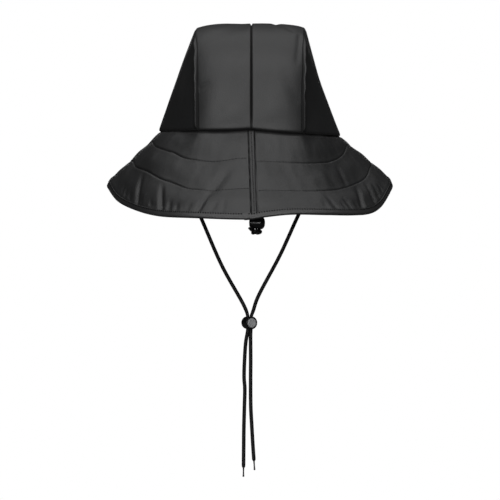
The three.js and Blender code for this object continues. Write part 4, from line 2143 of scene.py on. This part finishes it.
@dataclass(frozen=True)
class CordLock:
    """A barrel cord lock: a body, and a sprung button pressed into it."""

    name: str
    centre: Point
    angle: float
    plunger_body: Body
    button: Finish
    radius: float = 6.4
    back: float = -8.2
    front: float = 4.9
    bore: float = 5.05
    bore_bottom: float = -6.95
    button_radius: float = 4.75
    button_back: float = -4.2
    button_front: float = 6.2
    slot_width: float = 7.7
    slot_height: float = 4.0
    button_slot_front: float = 4.5

    def place(self) -> Matrix:
        """The lock's place on the hat, its button along local +Y.

        Returns:
            The place.
        """
        turn = math.radians(self.angle)
        return Matrix(
            (
                (math.cos(turn), math.sin(turn), 0, self.centre[0] * MM),
                (math.sin(turn), -math.cos(turn), 0, self.centre[1] * MM),
                (0, 0, -1, self.centre[2] * MM),
                (0, 0, 0, 1),
            )
        )

    @staticmethod
    def barrel(name: str, radius: float, low: float, high: float) -> bpy.types.Object:
        """A plain barrel along +Y, ready to be shaped.

        Args:
            name: The piece's name.
            radius: Its radius.
            low: Its back end.
            high: Its front end.

        Returns:
            The barrel.
        """
        Bench.clear()
        bpy.ops.mesh.primitive_cylinder_add(
            vertices=56,
            radius=radius,
            depth=high - low,
            location=(0, (low + high) / 2, 0),
            rotation=(-math.pi / 2, 0, 0),
        )
        piece = bpy.context.object
        piece.name = piece.data.name = name
        bpy.ops.object.transform_apply(location=True, rotation=True, scale=True)
        return piece

    @staticmethod
    def rim(y: float) -> Callable[[bmesh.types.BMEdge], bool]:
        """A test for the edges that lie in the plane of one Y."""
        return lambda edge: all(abs(v.co.y - y) < 0.01 for v in edge.verts) and not all(
            v.co.xz.length < 0.01 for v in edge.verts
        )

    def cut_slot(self, piece: bpy.types.Object, low: float, high: float) -> None:
        """Cuts the cord's way through a piece, along Z, with eased corners.

        Args:
            piece: The piece that is cut.
            low: The slot's back.
            high: The slot's front.
        """
        Bench.clear()
        bpy.ops.mesh.primitive_cube_add(size=1, location=(0, (low + high) / 2, 0))
        cutter = bpy.context.object
        cutter.scale = (self.slot_width, high - low, 4 * self.radius)
        bpy.ops.object.transform_apply(location=True, rotation=True, scale=True)
        Bench.select(
            cutter,
            Part.EDGE,
            lambda edge: abs(edge.verts[0].co.z - edge.verts[1].co.z) > self.radius,
        )
        bpy.ops.mesh.bevel(offset=min(1.5, (high - low) / 2.2), segments=5)
        Bench.close(cutter)
        cut = piece.modifiers.new("cord slot", "BOOLEAN")
        cut.operation = "DIFFERENCE"
        cut.solver = "EXACT"
        cut.object = cutter
        Bench.take(piece)
        bpy.ops.object.modifier_apply(modifier=cut.name)
        bpy.data.objects.remove(cutter)

    def body(self) -> bpy.types.Object:
        """The lock's body: a round-backed cup with the cord's slot through it.

        Returns:
            The body.
        """
        piece = self.barrel(f"{self.name}_barrel", self.radius, self.back, self.front)
        Bench.select(piece, Part.FACE, lambda face: face.normal.y > 0.9)
        bpy.ops.mesh.inset(thickness=self.radius - self.bore)
        bpy.ops.mesh.extrude_region_move(
            TRANSFORM_OT_translate={"value": (0, self.bore_bottom - self.front, 0)}
        )
        Bench.select(piece, Part.EDGE, self.rim(self.back))
        bpy.ops.mesh.bevel(offset=4.2, segments=11, profile=0.5)
        Bench.select(piece, Part.EDGE, self.rim(self.front))
        bpy.ops.mesh.bevel(offset=0.32, segments=3)
        Bench.close(piece)
        self.cut_slot(piece, -self.slot_height / 2, self.slot_height / 2)
        return self.seat(piece, Wardrobe.LOCK, Body.HAT, f"{self.name}_body")

    def plunger(self) -> bpy.types.Object:
        """The lock's button: a dished stem with its own slot.

        Returns:
            The button.
        """
        piece = self.barrel(
            f"{self.name}_button",
            self.button_radius,
            self.button_back,
            self.button_front,
        )
        Bench.select(piece, Part.FACE, lambda face: face.normal.y > 0.9)
        bpy.ops.mesh.inset(thickness=1.5)
        bpy.ops.mesh.inset(thickness=0.4)
        bpy.ops.transform.translate(value=(0, -0.65, 0))
        bpy.ops.mesh.inset(thickness=1.6)
        bpy.ops.transform.translate(value=(0, -0.15, 0))
        Bench.select(
            piece,
            Part.EDGE,
            lambda edge: all(
                abs(v.co.y - self.button_front) < 0.01
                and v.co.xz.length > self.button_radius - 0.05
                for v in edge.verts
            ),
        )
        bpy.ops.mesh.bevel(offset=1.1, segments=6)
        Bench.close(piece)
        self.cut_slot(piece, -self.slot_height / 2, self.button_slot_front)
        return self.seat(piece, self.button, self.plunger_body, f"{self.name}_plunger")

    def seat(
        self, piece: bpy.types.Object, finish: Finish, body: Body, node: str
    ) -> bpy.types.Object:
        """Brings a shaped piece to its place on the hat.

        Args:
            piece: The piece, in millimetres, along +Y.
            finish: Its finish.
            body: The body that it rides on.
            node: The node that it stands for.

        Returns:
            The piece.
        """
        Bench.finish(piece, 32)
        even = piece.modifiers.new("even shading", "WEIGHTED_NORMAL")
        even.keep_sharp = True
        Bench.take(piece)
        bpy.ops.object.modifier_apply(modifier=even.name)
        Bench.settle(piece, self.place() @ Matrix.Scale(MM, 4))
        return hand_over(piece, finish, [node], body)

    def build(self) -> list[bpy.types.Object]:
        """Builds the body and the button."""
        return [self.body(), self.plunger()]


@dataclass
class Tab:
    """A folded tape tab that carries a cord from the seam inside the hat."""

    name: str
    node: str
    outline: tuple[tuple[float, float], ...]
    width: float = 9.0
    ease: float = 0.7

    def build(self, place: Matrix) -> bpy.types.Object:
        """Shapes the tab from its side outline.

        Args:
            place: Turns the outline's plane to its place on the hat.

        Returns:
            The tab.
        """
        Bench.clear()
        bpy.ops.mesh.primitive_circle_add(
            vertices=len(self.outline), radius=1, fill_type="NGON"
        )
        piece = bpy.context.object
        piece.name = piece.data.name = self.name
        for vertex, (x, y) in zip(piece.data.vertices, self.outline):
            vertex.co = (x, y, -self.width / 2)
        Bench.select(piece, Part.FACE, lambda face: True)
        bpy.ops.mesh.extrude_region_move(
            TRANSFORM_OT_translate={"value": (0, 0, self.width)}
        )
        Bench.close(piece)
        Bench.select(piece, Part.EDGE, lambda edge: True)
        bpy.ops.mesh.bevel(offset=self.ease, segments=3)
        bpy.ops.mesh.select_all(action="SELECT")
        bpy.ops.uv.cube_project(cube_size=1000)
        Bench.close(piece)
        Bench.finish(piece, 50)
        Bench.settle(piece, place @ Matrix.Scale(MM, 4))
        return hand_over(piece, Wardrobe.STRAP, [self.node])


CHIN_LENGTHS = {Side.LEFT: 0.344, Side.RIGHT: 0.338}
CHIN_ROUTES: dict[Side, tuple[Point, ...]] = {
    Side.LEFT: (
        (-81.88, 0, -9.17),
        (-65.5, 0, -45.9),
        (-48.4, 0, -84.2),
        (-27.8, 0, -131.3),
        (-6.8, 0, -169.1),
        (-3.2, -0.6, -177.3),
        (-2.25, -0.93, -182),
        (-2.2, -0.93, -187.75),
        (-2.25, -0.93, -193.5),
        (-3.0, -0.75, -200),
        (-4.2, -0.3, -207),
        (-5.4, 0, -224.1),
        (-5.9, 0, -243.3),
        (-5.2, 0, -252.8),
        (-5.6, 0, -272),
        (-6.1, 0, -291.1),
        (-6.3, 0, -310.3),
        (-6.5, 0, -333.2),
    ),
    Side.RIGHT: (
        (81.88, 0, -9.17),
        (65.7, 0, -45.4),
        (48.6, 0, -79.6),
        (30.2, 0, -119.8),
        (7.3, 0, -163.4),
        (3.2, 0.5, -175.8),
        (1.15, 0.93, -181.8),
        (1, 0.93, -187.75),
        (1, 0.93, -193.7),
        (0.6, 0.75, -200.5),
        (0.6, 0.3, -208),
        (0.7, 0, -225),
        (0.6, 0, -243.3),
        (0.8, 0, -272),
        (1.8, 0, -291.1),
        (2.9, 0, -310.3),
        (4, 0, -326.5),
    ),
}


@dataclass
class ChinCord:
    """The chin cord's two ends, their tabs, their tips and the lock on them."""

    crown: CrownForm
    brim: BrimForm
    radius: float = 1.7
    lock_centre: Point = (-0.6, 0, -187.75)
    lock_angle: float = 30.0

    def tab(self, side: Side) -> bpy.types.Object:
        """The tab that holds one end of the cord at the crown's seam.

        Args:
            side: Which end.

        Returns:
            The tab.
        """
        under = self.brim.section(90 * side.value).under
        seat = under[0] - 1.9
        outline = (
            (seat, under[1] + 3.2),
            (seat, under[1] - 2),
            (84.01, -9.79),
            (79.99, -8.01),
            (seat - 3.2, under[1] + 3.2),
        )
        place = Matrix(
            ((side.value, 0, 0, 0), (0, 0, 1, 0), (0, 1, 0, 0), (0, 0, 0, 1))
        )
        node = f"chin_cord_tab_{side.word}"
        return Tab(f"chin_tab_{side.word}", node, outline).build(place)

    def build(self) -> None:
        """Builds both ends of the cord with their tips, tabs and lock."""
        for side, points in CHIN_ROUTES.items():
            tip = CordTip(side).build(points)
            Cord(
                f"chin_strand_{side.word}",
                f"chin_cord_{side.word}",
                points,
                self.radius,
                CHIN_LENGTHS[side],
                "fitting",
                pinched=self.lock_centre[2],
            ).build([tip])
            self.tab(side)
        CordLock(
            "chin_lock",
            self.lock_centre,
            self.lock_angle,
            Body.CHIN_PLUNGER,
            Wardrobe.BUTTON,
        ).build()


@dataclass
class Adjuster:
    """The size adjuster: its tab, two strands, a lock and the knot below it."""

    centre: Point = (5.9, -86.0, -88.9)
    angle: float = -100.0
    offset: float = 1.4
    radius: float = 1.2
    top: float = -9.0
    bottom: float = -95.4
    ring: float = 2.9
    loop: float = 1.35
    knot_radius: float = 1.5
    knot_z: float = -97.5
    knot_steps: int = 150
    end_route: tuple[Point, ...] = (
        (2.5, -90.9, -97.2),
        (0.7, -92.7, -95.7),
        (-1.2, -93.9, -93.6),
    )

    def knot(self) -> bpy.types.Object:
        """The knot: one strand wound three times through itself.

        Returns:
            The knot.
        """
        path = []
        for i in range(self.knot_steps):
            turn = 2 * math.pi * i / self.knot_steps
            reach = self.ring + self.loop * math.cos(3 * turn)
            path.append(
                Vector(
                    (
                        self.centre[0] + reach * math.cos(2 * turn),
                        self.centre[1] + reach * math.sin(2 * turn),
                        self.knot_z + self.loop * math.sin(3 * turn),
                    )
                )
            )
        radii = [self.knot_radius] * self.knot_steps
        piece = Bench.tube("adjuster_knot_loops", path, radii, 14, ring=True)
        Bench.finish(piece, 75)
        return hand_over(piece, Wardrobe.CORD, ["adjuster_knot"])

    def cut_end(self) -> bpy.types.Object:
        """The short cut end that stands out of the knot.

        Returns:
            The cut end.
        """
        line = route(self.end_route, 0.7)
        radii = [1.1] * len(line)
        radii[0] = radii[-1] = 0.0
        line.insert(1, line[0] + (line[1] - line[0]) * 0.15)
        radii.insert(1, 0.95)
        line.insert(-1, line[-1] + (line[-2] - line[-1]) * 0.2)
        radii.insert(-1, 0.9)
        piece = Bench.tube("adjuster_knot_end", line, radii, 14)
        Bench.finish(piece, 75)
        return hand_over(piece, Wardrobe.CORD, ["adjuster_cord_end"])

    def tab(self) -> bpy.types.Object:
        """The tab that holds both strands at the crown's back seam.

        Returns:
            The tab.
        """
        seat = -89.2
        y = self.centre[1]
        outline = (
            (seat, 3),
            (seat, -3),
            (y - 3.0, self.top + 0.3),
            (y + 3.4, self.top + 0.3),
            (seat + 3.6, 3),
        )
        place = Matrix(
            ((0, 0, 1, self.centre[0] * MM), (1, 0, 0, 0), (0, 1, 0, 0), (0, 0, 0, 1))
        )
        return Tab("adjuster_holder_tab", "adjuster_tab", outline).build(place)

    def build(self) -> None:
        """Builds the whole adjuster."""
        knot = self.knot()
        end = self.cut_end()
        turn = math.radians(self.angle)
        for word, sign in (("front", -1), ("back", 1)):
            x = self.centre[0] + sign * self.offset * math.cos(turn)
            y = self.centre[1] + sign * self.offset * math.sin(turn)
            points = tuple(
                (x, y, mix(self.top, self.bottom, i / 16)) for i in range(17)
            )
            Cord(
                f"adjuster_strand_{word}",
                f"adjuster_cord_{word}",
                points,
                self.radius,
                (self.top - self.bottom) * MM,
                "knot",
                0.5,
            ).build([knot, end] if word == "front" else [])
        self.tab()
        CordLock(
            "adjuster_lock",
            self.centre,
            self.angle,
            Body.ADJUSTER_PLUNGER,
            Wardrobe.LOCK,
        ).build()


# ----- studio


@dataclass(frozen=True)
class Lamp:
    """A soft rectangular studio light."""

    name: str
    place: Point
    aim: Point
    size: tuple[float, float]
    power: float

    def build(self) -> None:
        """Hangs the light, turned to its aim."""
        Bench.clear()
        bpy.ops.object.light_add(type="AREA", location=self.place)
        lamp = bpy.context.object
        lamp.name = lamp.data.name = self.name
        lamp.data.shape = "RECTANGLE"
        lamp.data.size, lamp.data.size_y = self.size
        lamp.data.energy = self.power
        lamp.visible_camera = False
        way = Vector(self.aim) - Vector(self.place)
        lamp.rotation_euler = way.to_track_quat("-Z", "Y").to_euler()


@dataclass
class Studio:
    """A plain pale floor, a white surround, soft lights and the camera."""

    floor_z: float = -0.372
    surround: float = 0.017
    lamps: tuple[Lamp, ...] = (
        Lamp("Front key", (0.0, -2.7, 0.55), (0, 0, 0), (1.8, 1.5), 33.0),
        Lamp("Over brim", (0.0, -1.5, 2.3), (0, 0, -0.05), (4.2, 1.5), 56.0),
        Lamp("Over crown", (0.0, 0.6, 2.6), (0, 0, 0), (3.4, 1.5), 24.0),
        Lamp("Low front", (-0.4, -2.6, -0.08), (0, 0, -0.1), (0.9, 0.5), 10.0),
        Lamp("Backing", (0.0, 3.2, 0.2), (0, 0, 0), (1.4, 1.4), 10.0),
    )

    def camera(self) -> None:
        """Sets the camera straight behind the hat, level with its middle."""
        data = bpy.data.cameras.new("Camera")
        data.lens, data.sensor_width = 144, 36
        camera = bpy.data.objects.new("Camera", data)
        camera.location = (0, -2, -0.115)
        camera.rotation_euler = (math.pi / 2, 0, 0)
        bpy.context.scene.collection.objects.link(camera)
        bpy.context.scene.camera = camera

    @staticmethod
    def seen_white(tree: bpy.types.NodeTree, shader: str, grey: float) -> None:
        """White as seen by the camera, and grey in what lights the hat.

        Args:
            tree: The world's or the floor's nodes.
            shader: The kind of shader that carries the white.
            grey: How much light it gives otherwise.
        """
        board = Board(tree)
        sink = next(node for node in tree.nodes if node.type.startswith("OUTPUT"))
        seen, other = board.add(shader), board.add(shader)
        for node, value in ((seen, 1.0), (other, grey)):
            node.inputs["Color"].default_value = (1, 1, 1, 1)
            node.inputs["Strength"].default_value = value
        blend = board.add("ShaderNodeMixShader")
        rays = board.add("ShaderNodeLightPath")
        board.join(rays.outputs["Is Camera Ray"], blend.inputs["Fac"])
        board.join(other.outputs[0], blend.inputs[1])
        board.join(seen.outputs[0], blend.inputs[2])
        board.join(blend.outputs[0], sink.inputs["Surface"])

    def floor(self) -> None:
        """Lays the floor below the cords."""
        Bench.clear()
        bpy.ops.mesh.primitive_plane_add(size=14, location=(0, 0, self.floor_z))
        floor = bpy.context.object
        floor.name = "studio_floor"
        material = bpy.data.materials.new("Pale floor")
        material.use_nodes = True
        material.node_tree.nodes.remove(material.node_tree.nodes["Principled BSDF"])
        self.seen_white(material.node_tree, "ShaderNodeEmission", 0.05)
        floor.data.materials.append(material)

    def build(self) -> None:
        """Sets up the surround, the floor and the lights."""
        world = bpy.data.worlds.new("Surround")
        world.use_nodes = True
        self.seen_white(world.node_tree, "ShaderNodeBackground", self.surround)
        bpy.context.scene.world = world
        bpy.context.scene.view_settings.view_transform = "Standard"
        self.floor()
        for lamp in self.lamps:
            lamp.build()


def main() -> None:
    """Builds the studio and the hat, piece by piece."""
    logging.basicConfig(level=logging.INFO, format="%(name)s %(message)s")
    studio = Studio()
    studio.camera()
    crown = CrownForm()
    brim = BrimForm(crown)
    ChinCord(crown, brim).build()
    Adjuster().build()
    Crown(crown).build()
    Brim(brim).build()
    studio.build()


if __name__ == "__main__":
    main()
